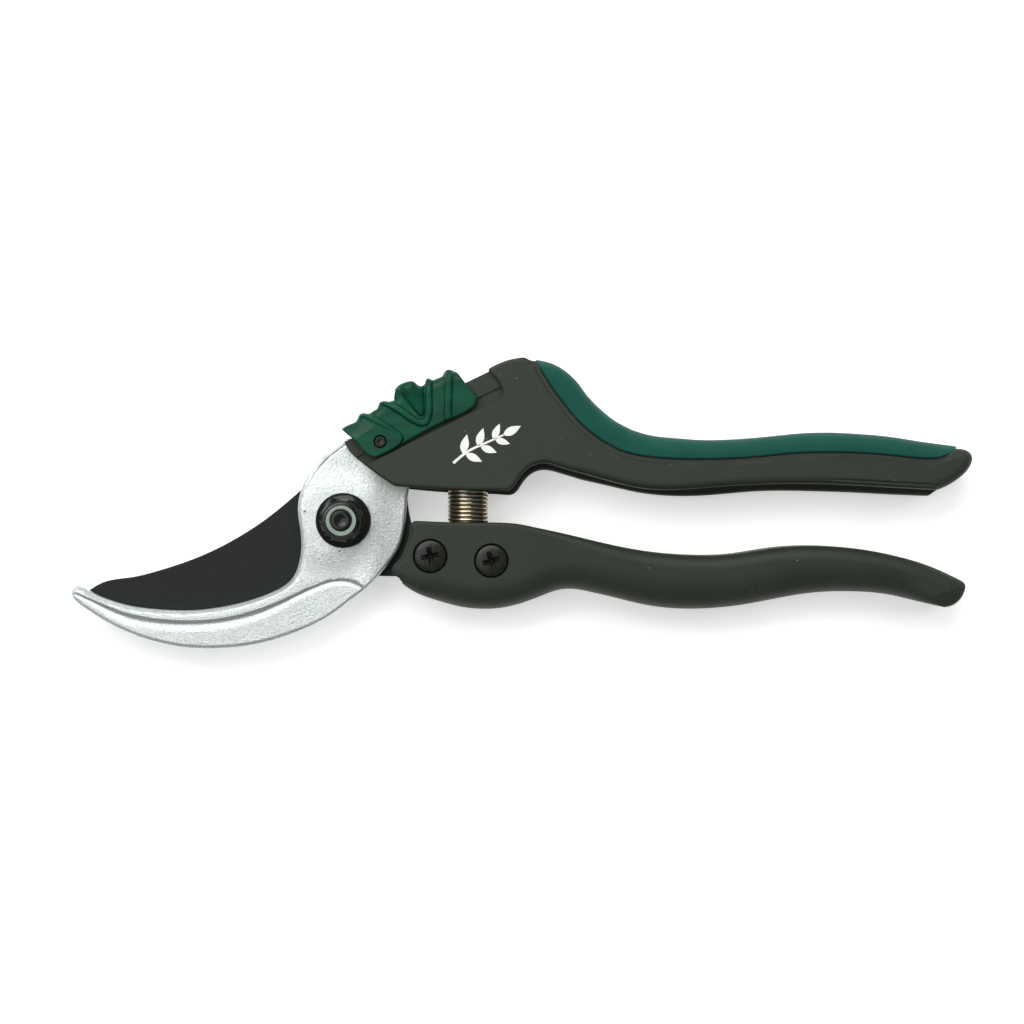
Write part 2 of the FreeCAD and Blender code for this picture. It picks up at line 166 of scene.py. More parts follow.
class Plate:
    """A grid between a lower and an upper edge that run left to right, and the two curves that
    close its ends. The rows crowd towards both edges, and the ends' curves fade inwards."""

    def __init__(self, lower, upper, counts, left, right, rows, hold=10.0):
        self.lower = chain(lower, counts)
        self.upper = chain(upper, counts)
        v = 0.5 - 0.5 * np.cos(np.pi * np.linspace(0, 1, rows))
        self.left = smooth(left, v)
        self.right = smooth(right, v)
        across = v[None, :, None]
        straight = (1 - across) * self.lower[:, None] + across * self.upper[:, None]
        middle = (self.lower + self.upper) / 2
        walked = np.r_[0.0, np.cumsum(np.hypot(*np.diff(middle, axis=0).T))]
        near_left = ramp(walked, hold, 0)[:, None, None]
        near_right = ramp(walked[-1] - walked, hold, 0)[:, None, None]
        self.xy = (straight + near_left * (self.left[None] - straight[:1])
                   + near_right * (self.right[None] - straight[-1:]))
        self.x, self.y = self.xy[..., 0], self.xy[..., 1]
        self.from_lower = distance(self.xy, self.lower)[0]
        self.from_upper = distance(self.xy, self.upper)[0]
        self.from_left = distance(self.xy, self.left)[0]
        self.from_right = distance(self.xy, self.right)[0]


def distance(xy, line):
    """How far each point is from a line of points, and +1 or -1 for its left or right side."""
    points = xy.reshape(-1, 2)
    line = line[np.r_[True, np.hypot(*np.diff(line, axis=0).T) > 1e-6]]
    start, run = line[:-1], np.diff(line, axis=0)
    far, side = np.empty(len(points)), np.empty(len(points))
    for rows in np.array_split(np.arange(len(points)), len(points) // 1500 + 1):
        to = points[rows][:, None] - start[None]
        t = np.clip((to * run).sum(2) / (run ** 2).sum(1), 0, 1)
        gap = ((to - t[..., None] * run) ** 2).sum(2)
        nearest = gap.argmin(1)
        each = np.arange(len(rows))
        far[rows] = np.sqrt(gap[each, nearest])
        side[rows] = np.sign(run[nearest, 0] * to[each, nearest, 1]
                             - run[nearest, 1] * to[each, nearest, 0])
    return far.reshape(xy.shape[:-1]), side.reshape(xy.shape[:-1])


def ramp(x, start, end):
    """0 at start, 1 at end, with an S-curve between: 3t^2 - 2t^3."""
    t = np.clip((x - start) / (end - start), 0, 1)
    return t * t * (3 - 2 * t)


def roll(d, width, depth, power=2.0):
    """How far a face has dropped at a distance from its edge: a quarter superellipse."""
    t = 1 - np.clip(d / width, 0, 1)
    return depth * (1 - (1 - t ** power) ** (1 / power))


def chamfer(d, width, depth):
    """How far a face has dropped at a distance from its edge: a straight slope."""
    return depth * np.clip(1 - d / width, 0, 1)


def together(*drops):
    """Several drops as one, the larger ruling: the cube root of the sum of cubes."""
    return np.cbrt(sum(d ** 3 for d in drops))


# ---- skins: vertices in millimetres and faces ---------------------------------------------

def grid_faces(rows, columns, closed=False):
    """Quads of a grid of points numbered row by row, each row joined end to end if closed."""
    i = np.arange(rows - 1)[:, None]
    j = np.arange(columns if closed else columns - 1)[None]
    i2, j2 = i + 1, (j + 1) % columns
    return np.stack([i * columns + j, i2 * columns + j, i2 * columns + j2, i * columns + j2],
                    -1).reshape(-1, 4)


def slab(xy, front, rear):
    """A closed plate: the grid at its front heights, again at its rear heights, and a wall
    between their rims."""
    rows, columns = front.shape
    half = rows * columns
    verts = np.concatenate([np.dstack([xy, front]).reshape(-1, 3),
                            np.dstack([xy, rear]).reshape(-1, 3)])
    top = grid_faces(rows, columns)
    number = np.arange(half).reshape(rows, columns)
    rim = np.r_[number[:, 0], number[-1, 1:], number[-2::-1, -1], number[0, -2:0:-1]]
    after = np.roll(rim, -1)
    wall = np.stack([rim + half, after + half, after, rim], -1)
    return verts, np.concatenate([top, top[:, ::-1] + half, wall])


def turned(profile, x=0.0, y=0.0, steps=72, hexagon=None, turn=0.0):
    """A profile of (radius, height) points carried round a vertical axis. With a hexagon's size
    across flats, a radius is cut off at its sides: flats / 2 / cos(angle from the nearest flat)."""
    profile = np.array(profile, float)
    angle = np.radians(turn) + 2 * np.pi * np.arange(steps) / steps
    radius = np.repeat(profile[:, :1], steps, 1)
    if hexagon:
        off_flat = (angle - np.radians(turn)) % (np.pi / 3) - np.pi / 6
        radius = np.minimum(radius, hexagon / 2 / np.cos(off_flat))
    verts = np.stack([x + radius * np.cos(angle), y + radius * np.sin(angle),
                      np.repeat(profile[:, 1:], steps, 1)], -1).reshape(-1, 3)
    return verts, grid_faces(len(profile), steps, closed=True)[:, ::-1]


def ring(profile, **places):
    """A closed profile carried round a vertical axis, such as a washer's."""
    return turned(list(profile) + [profile[0]], **places)


def post(x, y, radius, low, high, steps=48):
    """A plain round post."""
    return turned([(0, low), (radius, low), (radius, high), (0, high)], x, y, steps)


def posts_at(nodes, radius, low, high):
    """A round post on each node's axis."""
    return [post(*centre_of(node)[:2], radius, low, high) for node in nodes]


def hexagon_corner(flats, round_face):
    """A hexagon's corner radius, and how far its 30 degree chamfer climbs from its round face."""
    corner = flats / math.sqrt(3)
    return corner, (corner - round_face) * math.tan(math.radians(30))


def layered(outline, layers):
    """A plate of any outline, given anticlockwise, built from (height, spread) layers. A layer
    is spread outwards along the mean direction of the two sides that meet at each corner."""
    outline = np.array(outline, float)
    n = len(outline)
    sides = np.roll(outline, -1, 0) - outline
    sides /= np.hypot(*sides.T)[:, None]
    mean = sides + np.roll(sides, 1, 0)
    mean /= np.hypot(*mean.T)[:, None]
    out = np.c_[mean[:, 1], -mean[:, 0]]
    verts = np.concatenate([np.c_[outline + spread * out, np.full(n, z)]
                            for z, spread in layers])
    faces = [list(range(n))[::-1], list(range(len(verts) - n, len(verts)))]
    i = np.arange(n)
    j = np.roll(i, -1)
    for k, (this, above) in enumerate(zip(layers, layers[1:])):
        wall = np.stack([i, j, j + n, i + n], -1) + k * n
        if this[1] != above[1]:
            # A slope's quads aren't flat, so they are halved
            wall = wall[:, [[0, 1, 2], [0, 2, 3]]].reshape(-1, 3)
        faces += wall.tolist()
    return verts, faces


def prism(outline, low, high):
    """A plate with straight sides and any outline, given anticlockwise."""
    return layered(outline, [(low, 0), (high, 0)])


def sideways(skin, x, y, z):
    """A skin made round the vertical axis, laid over so that its axis runs along +Y."""
    verts, faces = skin
    return np.stack([x + verts[:, 0], y + verts[:, 2], z - verts[:, 1]], -1), faces


def joined(*skins):
    """Several skins as one."""
    verts, faces, count = [], [], 0
    for v, f in skins:
        verts.append(v)
        faces += [[k + count for k in face] for face in f]
        count += len(v)
    return np.concatenate(verts), faces


# ---- pieces -------------------------------------------------------------------------------

def raw_mesh(name, skin):
    """A mesh from a skin, its seams and poles closed and its faces turned outwards."""
    verts, faces = skin
    mesh = bpy.data.meshes.new(name)
    mesh.from_pydata(np.asarray(verts) * MM, [], [list(map(int, f)) for f in faces])
    edit = bmesh.new()
    edit.from_mesh(mesh)
    bmesh.ops.remove_doubles(edit, verts=edit.verts, dist=2e-7)
    bmesh.ops.recalc_face_normals(edit, faces=edit.faces)
    edit.to_mesh(mesh)
    edit.free()
    return mesh


def linked(name, mesh):
    """A new object in the scene."""
    thing = bpy.data.objects.new(name, mesh)
    bpy.context.scene.collection.objects.link(thing)
    return thing


def piece(name, skin, finish, body, nodes=(), tools=(), crease=32.0):
    """A finished piece: its skin with the tools cut out of it, smooth up to the crease angle,
    riding on a body and standing for its CAD nodes."""
    made = linked(name, raw_mesh(name, skin))
    if tools:
        cutters = [linked("cutter", raw_mesh("cutter", t)) for t in tools]
        for cutter in cutters:
            cut = made.modifiers.new("cut", "BOOLEAN")
            cut.operation, cut.solver, cut.object = "DIFFERENCE", "EXACT", cutter
        graph = bpy.context.evaluated_depsgraph_get()
        plain, made_mesh = made.data, bpy.data.meshes.new_from_object(made.evaluated_get(graph))
        made.modifiers.clear()
        made.data = made_mesh
        bpy.data.meshes.remove(plain)
        for cutter in cutters:
            bpy.data.meshes.remove(cutter.data)
    made.data.shade_smooth()
    made.data.set_sharp_from_angle(angle=math.radians(crease))
    made.data.materials.clear()
    made.data.materials.append(finish)
    if nodes:
        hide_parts(*nodes)
    if body:
        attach(made, body)
    return made


# ---- colours and materials ----------------------------------------------------------------

def linear(hex_colour):
    """An sRGB hex colour as linear red, green, blue and alpha."""
    channels = [int(hex_colour[i:i + 2], 16) / 255 for i in (1, 3, 5)]
    return tuple(c / 12.92 if c <= 0.04045 else ((c + 0.055) / 1.055) ** 2.4
                 for c in channels) + (1.0,)


def colour(hex_colour, name, description):
    """A colour property with that default."""
    return FloatVectorProperty(name=name, description=description, subtype="COLOR", size=4,
                               min=0, max=1, default=linear(hex_colour))


def length(millimetres, name, description):
    """A length property with that default."""
    return FloatProperty(name=name, description=description, unit="LENGTH", min=0,
                         default=millimetres * MM)


def add(tree, kind, inputs=None, **settings):
    """Adds a node: settings are its own, and inputs gives its sockets a value or a link."""
    node = tree.nodes.new(kind)
    for name, value in settings.items():
        setattr(node, name, value)
    for socket, value in (inputs or {}).items():
        if isinstance(value, bpy.types.NodeSocket):
            tree.links.new(value, node.inputs[socket])
        else:
            node.inputs[socket].default_value = value
    return node


def blank(name):
    """An empty material, its node tree and its object coordinates in metres."""
    made = bpy.data.materials.new(name)
    made.use_nodes = True
    made.node_tree.nodes.clear()
    place = add(made.node_tree, "ShaderNodeTexCoord").outputs["Object"]
    return made, made.node_tree, place


def grains(tree, place, size, detail=2.0, roughness=0.5, stretch=None):
    """Noise whose features are about that many millimetres across, from 0 to 1."""
    if stretch:
        place = add(tree, "ShaderNodeMapping", {"Vector": place, "Rotation": stretch[0],
                                                "Scale": stretch[1]}).outputs["Vector"]
    return add(tree, "ShaderNodeTexNoise", {"Vector": place, "Scale": 1 / (size * MM),
                                            "Detail": detail, "Roughness": roughness}
               ).outputs["Fac"]


def spread(tree, value, low, high, to_low=0.0, to_high=1.0):
    """A value stretched from one range to another, held at its ends."""
    return add(tree, "ShaderNodeMapRange", {"Value": value, "From Min": low, "From Max": high,
                                            "To Min": to_low, "To Max": to_high}
               ).outputs["Result"]


def between(tree, share, first, second):
    """A colour between two, by a share from 0 to 1."""
    mixed = add(tree, "ShaderNodeMix", data_type="RGBA")
    for socket, value in ((mixed.inputs[0], share), (mixed.inputs[6], first),
                          (mixed.inputs[7], second)):
        if isinstance(value, bpy.types.NodeSocket):
            tree.links.new(value, socket)
        else:
            socket.default_value = value
    return mixed.outputs[2]


def bumped(tree, height, millimetres, below=None):
    """A surface relief of that depth from a height between 0 and 1."""
    inputs = {"Height": height, "Distance": millimetres * MM, "Strength": 1.0}
    if below:
        inputs["Normal"] = below
    return add(tree, "ShaderNodeBump", inputs).outputs["Normal"]


def surfaced(tree, **inputs):
    """The shader and the output; an underscore in a socket's name stands for a space."""
    shader = add(tree, "ShaderNodeBsdfPrincipled",
                 {name.replace("_", " "): value for name, value in inputs.items()})
    add(tree, "ShaderNodeOutputMaterial", {"Surface": shader.outputs["BSDF"]})


def forged_satin_steel(tints):
    """Drop-forged steel, tumbled and satin plated: bright, with a fine cast grain, cloudy where
    the plating is thinner, and a few dark pits."""
    made, tree, place = blank("forged satin-plated steel")
    cloud = grains(tree, place, 3.5, 3.0)
    # The plating's grain is drawn 0.5 mm across, coarser than real, so that it shows
    grain = grains(tree, place, 0.5, 4.0, 0.75)
    pits = grains(tree, place, 1.3, 1.0)
    clean = between(tree, spread(tree, cloud, 0.3, 0.7), tints.steel_shade, tints.steel)
    speckled = between(tree, spread(tree, grain, 0.48, 0.7, 0.0, 0.6), clean, linear("#8d9791"))
    pitted = between(tree, spread(tree, pits, 0.79, 0.82), speckled, linear("#4a4f4b"))
    relief = bumped(tree, grain, 0.14)
    relief = bumped(tree, pits, 0.03, relief)
    surfaced(tree, Base_Color=pitted, Metallic=0.92, Normal=relief,
             Roughness=spread(tree, grain, 0.3, 0.7, 0.3, 0.46))
    return made


def coated_blade_steel(tints):
    """Hardened steel sprayed with a non-stick fluoropolymer: charcoal, eggshell, with tiny pale
    flecks and a few hairline rubs."""
    made, tree, place = blank("PTFE-coated blade steel")
    fleck = grains(tree, place, 0.3, 2.0, 0.6)
    # Rubs are drawn a few tenths of a millimetre wide, coarser than real ones, so that they show
    rub = grains(tree, place, 1.0, 1.0, 0.5, ((0, 0, math.radians(28)), (0.12, 2.2, 1)))
    where = grains(tree, place, 14.0, 1.0)
    rubbed = add(tree, "ShaderNodeMath", {0: spread(tree, rub, 0.735, 0.76),
                                          1: spread(tree, where, 0.55, 0.66)},
                 operation="MULTIPLY").outputs[0]
    base = between(tree, spread(tree, fleck, 0.35, 0.7), tints.coating, linear("#262a27"))
    surfaced(tree, Base_Color=between(tree, rubbed, base, linear("#6d726e")),
             Roughness=spread(tree, fleck, 0.3, 0.7, 0.42, 0.55), Specular_IOR_Level=0.15,
             Normal=bumped(tree, fleck, 0.012))
    return made


def textured_coat(name, tint):
    """A matt, fine-textured coat: the light breaks up on grains of about a quarter of a
    millimetre, with a few pale dust specks."""
    made, tree, place = blank(name)
    grain = grains(tree, place, 0.28, 2.0, 0.6)
    patch = grains(tree, place, 9.0, 2.0)
    dust = grains(tree, place, 0.9, 0.0)
    base = between(tree, spread(tree, patch, 0.3, 0.7, 0.0, 0.5), tint, linear("#30342d"))
    base = between(tree, spread(tree, grain, 0.45, 0.8, 0.0, 0.3), base, linear("#40453c"))
    surfaced(tree, Base_Color=between(tree, spread(tree, dust, 0.87, 0.89, 0.0, 0.4), base,
                                      linear("#8f948a")),
             Roughness=spread(tree, grain, 0.3, 0.7, 0.46, 0.6), Specular_IOR_Level=0.3,
             Normal=bumped(tree, grain, 0.02))
    return made


def soft_grip_rubber(tints):
    """Over-moulded thermoplastic rubber: deep teal, silky and almost without a highlight."""
    made, tree, place = blank("TPE soft grip")
    grain = grains(tree, place, 0.35, 3.0, 0.6)
    bloom = grains(tree, place, 7.0, 2.0)
    base = between(tree, spread(tree, bloom, 0.35, 0.7, 0.0, 0.4), tints.grip,
                   linear("#17574a"))
    surfaced(tree, Base_Color=base, Roughness=spread(tree, grain, 0.3, 0.7, 0.55, 0.7),
             Specular_IOR_Level=0.15, Sheen_Weight=0.05, Sheen_Roughness=0.5,
             Normal=bumped(tree, grain, 0.015))
    return made


def slider_plastic(tints):
    """Injection-moulded polypropylene: bottle green, semi-gloss, with faint flow marks."""
    made, tree, place = blank("moulded polypropylene")
    flow = grains(tree, place, 3.5, 2.0, 0.5, ((0, 0, -RAIL_ANGLE), (0.35, 1, 1)))
    grain = grains(tree, place, 0.25, 2.0)
    base = between(tree, spread(tree, flow, 0.35, 0.7), tints.slider, linear("#0e513b"))
    surfaced(tree, Base_Color=base, Roughness=spread(tree, grain, 0.3, 0.7, 0.3, 0.42),
             Specular_IOR_Level=0.17, Subsurface_Weight=0.05, Subsurface_Scale=0.001,
             Normal=bumped(tree, grain, 0.006))
    return made


def black_oxide_steel(tints, name="black-oxide steel", worn="#282a24", rough=0.29, sheen=0.3):
    """Machined steel, blackened and oiled: almost black, with a soft bright glint on edges."""
    made, tree, place = blank(name)
    turning = grains(tree, place, 0.5, 3.0, 0.6)
    surfaced(tree, Base_Color=between(tree, spread(tree, turning, 0.35, 0.75),
                                      tints.blackened, linear(worn)),
             Metallic=0.1, Roughness=spread(tree, turning, 0.3, 0.7, 0.75 * rough, 1.25 * rough),
             Specular_IOR_Level=sheen, Normal=bumped(tree, turning, 0.008))
    return made


def metal(name, tint, shade, rough, grain_mm=0.5):
    """A plain machined or plated metal, its tone and polish uneven on a fine scale."""
    made, tree, place = blank(name)
    grain = grains(tree, place, grain_mm, 3.0, 0.6)
    surfaced(tree, Base_Color=between(tree, spread(tree, grain, 0.3, 0.7), shade, tint),
             Metallic=1.0, Roughness=spread(tree, grain, 0.3, 0.7, rough * 0.8, rough * 1.3),
             Normal=bumped(tree, grain, 0.006))
    return made


def drawn_spring_wire(tints):
    """Oil-tempered wire: straw to bronze where it was heated, drawn bright, dark with oil."""
    made, tree, place = blank("oil-tempered spring wire")
    heat = grains(tree, place, 3.0, 2.0)
    oil = grains(tree, place, 1.2, 3.0, 0.6)
    base = between(tree, spread(tree, heat, 0.35, 0.65), linear("#c4bfb2"), tints.wire)
    base = between(tree, spread(tree, oil, 0.55, 0.72, 0.0, 0.45), base, linear("#5f5440"))
    surfaced(tree, Base_Color=base, Metallic=1.0,
             Roughness=spread(tree, oil, 0.3, 0.7, 0.16, 0.32))
    return made


def natural_nylon(tints):
    """Unfilled nylon: milky, waxy and slightly clear."""
    made, tree, place = blank("natural nylon")
    cloud = grains(tree, place, 1.5, 2.0)
    surfaced(tree, Base_Color=between(tree, cloud, tints.nylon, linear("#7d8a80")),
             Roughness=0.38, Subsurface_Weight=0.2, Subsurface_Scale=0.001)
    return made


def pad_printed_ink(tints):
    """White pad-printing ink: opaque, matt, thin enough for the coat's grain to show through."""
    made, tree, place = blank("white pad-printing ink")
    grain = grains(tree, place, 0.28, 2.0, 0.6)
    surfaced(tree, Base_Color=between(tree, spread(tree, grain, 0.6, 0.9), tints.ink,
                                      linear("#c9cdc6")),
             Roughness=0.55, Normal=bumped(tree, grain, 0.012))
    return made


FINISHES = {}


def finish(name):
    """A finish by name, made the first time that it is asked for."""
    tints = bpy.context.scene.pruner_tints
    makers = {
        "hook": forged_satin_steel,
        "blade": coated_blade_steel,
        "shell": lambda t: textured_coat("textured nylon moulding", t.handle),
        "lower": lambda t: textured_coat("fine-texture powder coat", t.lower_handle),
        "grip": soft_grip_rubber,
        "slider": slider_plastic,
        "black": black_oxide_steel,
        "oiled": lambda t: black_oxide_steel(t, "oiled black-oxide steel", "#1a1c19", 0.19, 0.34),
        "zinc": lambda t: metal("zinc plate", linear("#c3c8ca"), linear("#9aa1a4"), 0.3),
        "bronze": lambda t: metal("sintered bronze", linear("#b08a52"), linear("#7f6238"), 0.4,
                                  0.3),
        "wire": drawn_spring_wire,
        "nylon": natural_nylon,
        "ink": pad_printed_ink,
    }
    if name not in FINISHES:
        FINISHES[name] = makers[name](tints)
    return FINISHES[name]


# ---- settings -----------------------------------------------------------------------------

class PrunerTints(bpy.types.PropertyGroup):
    """Colours of the finishes"""
    steel: colour("#e2e8e4", "Steel", "Satin plating of the hook, where it is bright")
    steel_shade: colour("#dae0dc", "Steel shade", "Satin plating of the hook, where it is thin")
    coating: colour("#1c1f1d", "Blade coating", "Non-stick coating of the cutting blade")
    handle: colour("#2b3129", "Upper handle", "Coat of the upper handle's shells")
    lower_handle: colour("#272c25", "Lower handle", "Coat of the lower handle")
    grip: colour("#0f4a3f", "Grip pad", "Soft pad on the upper handle")
    slider: colour("#083f2d", "Lock slider", "Thumb slider of the lock")
    blackened: colour("#171a16", "Blackened steel", "Bolt, nut, pin and screws")
    wire: colour("#b6ab92", "Spring wire", "Heat tint of the return spring")
    nylon: colour("#9da89f", "Nylon ring", "Locking ring in the pivot nut")
    ink: colour("#f4f5f2", "Printed mark", "Ink of the mark on the upper handle")
    floor: colour("#f6f7f5", "Floor", "Studio floor")


class PrunerSizes(bpy.types.PropertyGroup):
    """Sizes of the details that the frame doesn't fix"""
    jaw_bevel: length(0.8, "Jaw bevel", "Depth of the bevel along the hook's inner edge")
    groove_width: length(2.4, "Sap groove width", "Width of the groove along the hook")
    groove_depth: length(0.5, "Sap groove depth", "Depth of the groove at its wall")
    grind_width: length(9.0, "Grind width", "Width of the cutting blade's bevel")
    palm_roll: length(6.5, "Palm roll", "Width of the lower handle's rounding at the palm")
    rib_height: length(0.85, "Rib height", "How far the slider's ribs stand proud")
    wire: length(0.94, "Wire", "Diameter of the return spring's wire")
    wire_pitch: length(0.98, "Coil pitch", "Distance between the return spring's coils")


class PrunerStudio(bpy.types.PropertyGroup):
    """Camera and lights"""
    camera_height: length(545.0, "Camera height", "From the hook's face up to the camera")
    view_width: length(244.6, "View width", "Width seen at the hook's face")
    light: FloatProperty(name="Light", description="Strength of the studio lights", default=1.0,
                         min=0)


# ---- the jaws -----------------------------------------------------------------------------

# The hook's edges, from its tip to the end of its tang
HOOK_INNER = [
    [(-64.05, -15.65), (-62.8, -15.9), (-60.8, -17.05), (-57.0, -18.8), (-52.0, -20.3),
     (-45.0, -21.3),
     (-35.5, -21.5), (-29.0, -20.7), (-22.6, -19.2), (-18.3, -17.7), (-14.8, -16.0),
     (-12.6, -14.2), (-11.2, -11.9)],
    [(-11.2, -11.9), (-10.5, -9.3), (-10.1, -5.5), (-10.5, -1.2), (-10.9, 2.2), (-10.1, 7.3),
     (-7.4, 12.2), (-4.0, 16.0), (0.3, 19.2)],
    [(0.3, 19.2), (3.0, 19.6), (6.4, 17.6), (8.4, 16.6), (15.3, 20.0), (18.5, 24.4),
     (26.0, 27.6), (37.0, 31.8)]]
HOOK_OUTER = [
    [(-63.4, -20.0), (-59.1, -22.9), (-53.5, -26.0), (-47.1, -28.5), (-39.8, -30.2),
     (-31.0, -30.75), (-22.6, -30.0), (-16.1, -28.5), (-9.7, -26.1), (-3.2, -22.7),
     (1.6, -19.1)],
    [(1.6, -19.1), (4.2, -17.2), (6.4, -15.3), (8.5, -13.1), (10.6, -10.5), (12.7, -7.5),
     (14.1, -4.0), (14.75, 0.0), (15.1, 4.0), (15.7, 8.1)],
    [(15.7, 8.1), (19.5, 13.4), (24.0, 17.5), (31.0, 19.9), (38.4, 22.6)]]
# The crest that bounds the sap groove, from the tip round to the outer edge
CREST = [(-66.5, -16.2), (-64.0, -17.2), (-57.0, -20.1), (-50.5, -22.2), (-41.9, -23.5),
         (-33.3, -23.5), (-24.7, -22.2), (-16.1, -19.4), (-9.7, -16.5), (-6.0, -14.9),
         (-2.0, -13.8), (1.5, -14.0), (4.2, -15.1), (6.4, -17.4), (8.0, -20.5)]

BLADE_EDGE = [
    [(-62.2, -17.7), (-54.0, -21.2), (-44.0, -24.0), (-34.0, -24.3), (-24.0, -22.5),
     (-16.0, -19.2), (-8.0, -15.6)],
    [(-8.0, -15.6), (-3.0, -14.4), (3.0, -13.8), (8.5, -13.4)],
    [(8.5, -13.4), (13.3, -13.5)],
    [(13.3, -13.5), (43.6, -13.9)]]
BLADE_BACK = [
    [(-62.2, -17.3), (-58.1, -14.9), (-51.4, -13.7), (-46.2, -12.5), (-33.3, -8.0),
     (-24.7, -3.5), (-18.3, 0.8), (-9.4, 8.3)],
    [(-9.4, 8.3), (-5.0, 12.0), (0.0, 15.8), (4.2, 18.4), (7.9, 17.3), (11.2, 15.3)],
    [(11.2, 15.3), (14.6, 9.4), (15.2, 3.8), (16.0, -0.7)],
    [(16.0, -0.7), (18.4, -4.2), (23.0, -5.8), (33.0, -6.3), (43.8, -6.7)]]
GRIND_LINE = [(-16.5, 6.0), (-14.6, 1.5), (-12.9, -4.5), (-9.0, -11.0), (-3.0, -17.0)]


def hook_skin(sizes):
    """The hook's face. From the inner edge a bevel climbs to the crest; beyond it the face falls
    in an S-curve to the bottom of the sap groove, rises a short way to a low plateau and runs on
    to the rolled outer edge, each by its distance from the crest or the edge."""
    plate = Plate(HOOK_OUTER, HOOK_INNER, (220, 110, 60),
                  [(-63.4, -20.0), (-64.85, -18.4), (-65.06, -17.2), (-64.05, -15.65)],
                  [(38.4, 22.6), (38.5, 27.0), (37.0, 31.8)], 92, hold=4.0)
    off, side = distance(plate.xy, smooth(CREST, np.linspace(0, 1, 260)))
    beyond = -side * off
    jaw = 1 - ramp(plate.x, -15.0, -5.0)
    width = (sizes.groove_width / MM * (0.35 + 0.65 * ramp(plate.x, -64.0, -50.0))
             * (1 - 0.4 * ramp(plate.x, -24.0, -8.0)))
    deep = sizes.groove_depth / MM
    groove = (deep * ramp(beyond, -0.25, 0.6 * width)
              - 0.4 * deep * ramp(beyond, 0.5 * width, 1.35 * width))
    bevel = sizes.jaw_bevel / MM
    inner = together(jaw * chamfer(plate.from_upper, 0.95, bevel)
                     + jaw * roll(plate.from_upper, 2.4, 0.25),
                     (1 - jaw) * roll(plate.from_upper, 0.35, 0.35))
    outer = roll(plate.from_lower, 0.3 * jaw + 0.8, 0.3 * jaw + 0.5)
    tip = roll(plate.from_left, 1.4, 0.9)
    # The disc is crowned a little, so the light fades across it from left to right
    off_centre = np.hypot(plate.x + 3.0, plate.y)
    crown = 1.45 * ramp(plate.x, 3.5, 17.0) * (1 - ramp(plate.y, 10.0, 14.0))
    crown += 0.45 * ramp(off_centre, 6.5, 14.0) * (1 - ramp(plate.x, 2.0, 8.0))
    # A forging line runs just inside the disc's edge
    line = 0.12 * (1 - jaw) * np.exp(-((plate.from_upper - 1.15) / 0.16) ** 2)
    front = HOOK_HIGH - groove - line - crown * (groove < 0.05) - together(inner, outer, tip)
    rear = HOOK_LOW + together(chamfer(plate.from_upper, 0.4, 0.25),
                               roll(plate.from_lower, 0.9, 0.7), roll(plate.from_left, 1, 0.6))
    return slab(plate.xy, front, rear)


def blade_skin(sizes):
    """The cutting blade. Its front is flat but for a shallow relief beyond the grind line; its
    rear is ground from full thickness to a fine edge, in proportion to the distance from it."""
    plate = Plate(BLADE_EDGE, BLADE_BACK, (150, 50, 30, 50),
                  [(-62.2, -17.7), (-62.3, -17.5), (-62.2, -17.3)],
                  [(43.6, -13.9), (46.2, -10.2), (43.8, -6.7)], 64, hold=3.0)
    off, side = distance(plate.xy, smooth(GRIND_LINE, np.linspace(0, 1, 80)))
    relief = 0.1 * ramp(-side * off, -0.2, 0.5)
    edge = smooth(BLADE_EDGE[0], np.linspace(0, 1, 200))
    from_edge = distance(plate.xy, edge)[0]
    ground = (BLADE_HIGH - BLADE_LOW - 0.35) * np.clip(1 - from_edge / (sizes.grind_width / MM),
                                                       0, 1)
    rims = roll(plate.from_upper, 0.35, 0.3)
    return slab(plate.xy, BLADE_HIGH - relief - rims, BLADE_LOW + np.maximum(ground, rims))


class PRUNER_OT_jaws(bpy.types.Operator):
    """Builds the hook and the cutting blade"""
    bl_idname = "pruner.jaws"
    bl_label = "Jaws"

    def execute(self, context):
        sizes = context.scene.pruner_sizes
        holes = [post(0, 0, BOLT_BORE, 0, 20),
                 *posts_at(["hook_locating_pin_1", "hook_locating_pin_2"], DOWEL_RADIUS, 0, 20),
                 *posts_at(["upper_handle_screw_1"], SHELL_SCREW_RADIUS, 0, 20)]
        piece("hook", hook_skin(sizes), finish("hook"), "upper", ["hook_blade"], [joined(*holes)])
        screws = ["lower_handle_screw_1", "lower_handle_screw_2"]
        holes = [post(0, 0, BUSHING_RADIUS, 0, 12), post(PIN_X, PIN_Y, PIN_CATCH, 0, 12),
                 *posts_at(screws, HANDLE_SCREW_HOLE, 0, 12)]
        piece("cutting_blade_coated", blade_skin(sizes), finish("blade"), "lower",
              ["cutting_blade"], [joined(*holes)])
        return {"FINISHED"}


# ---- the pivot ----------------------------------------------------------------------------

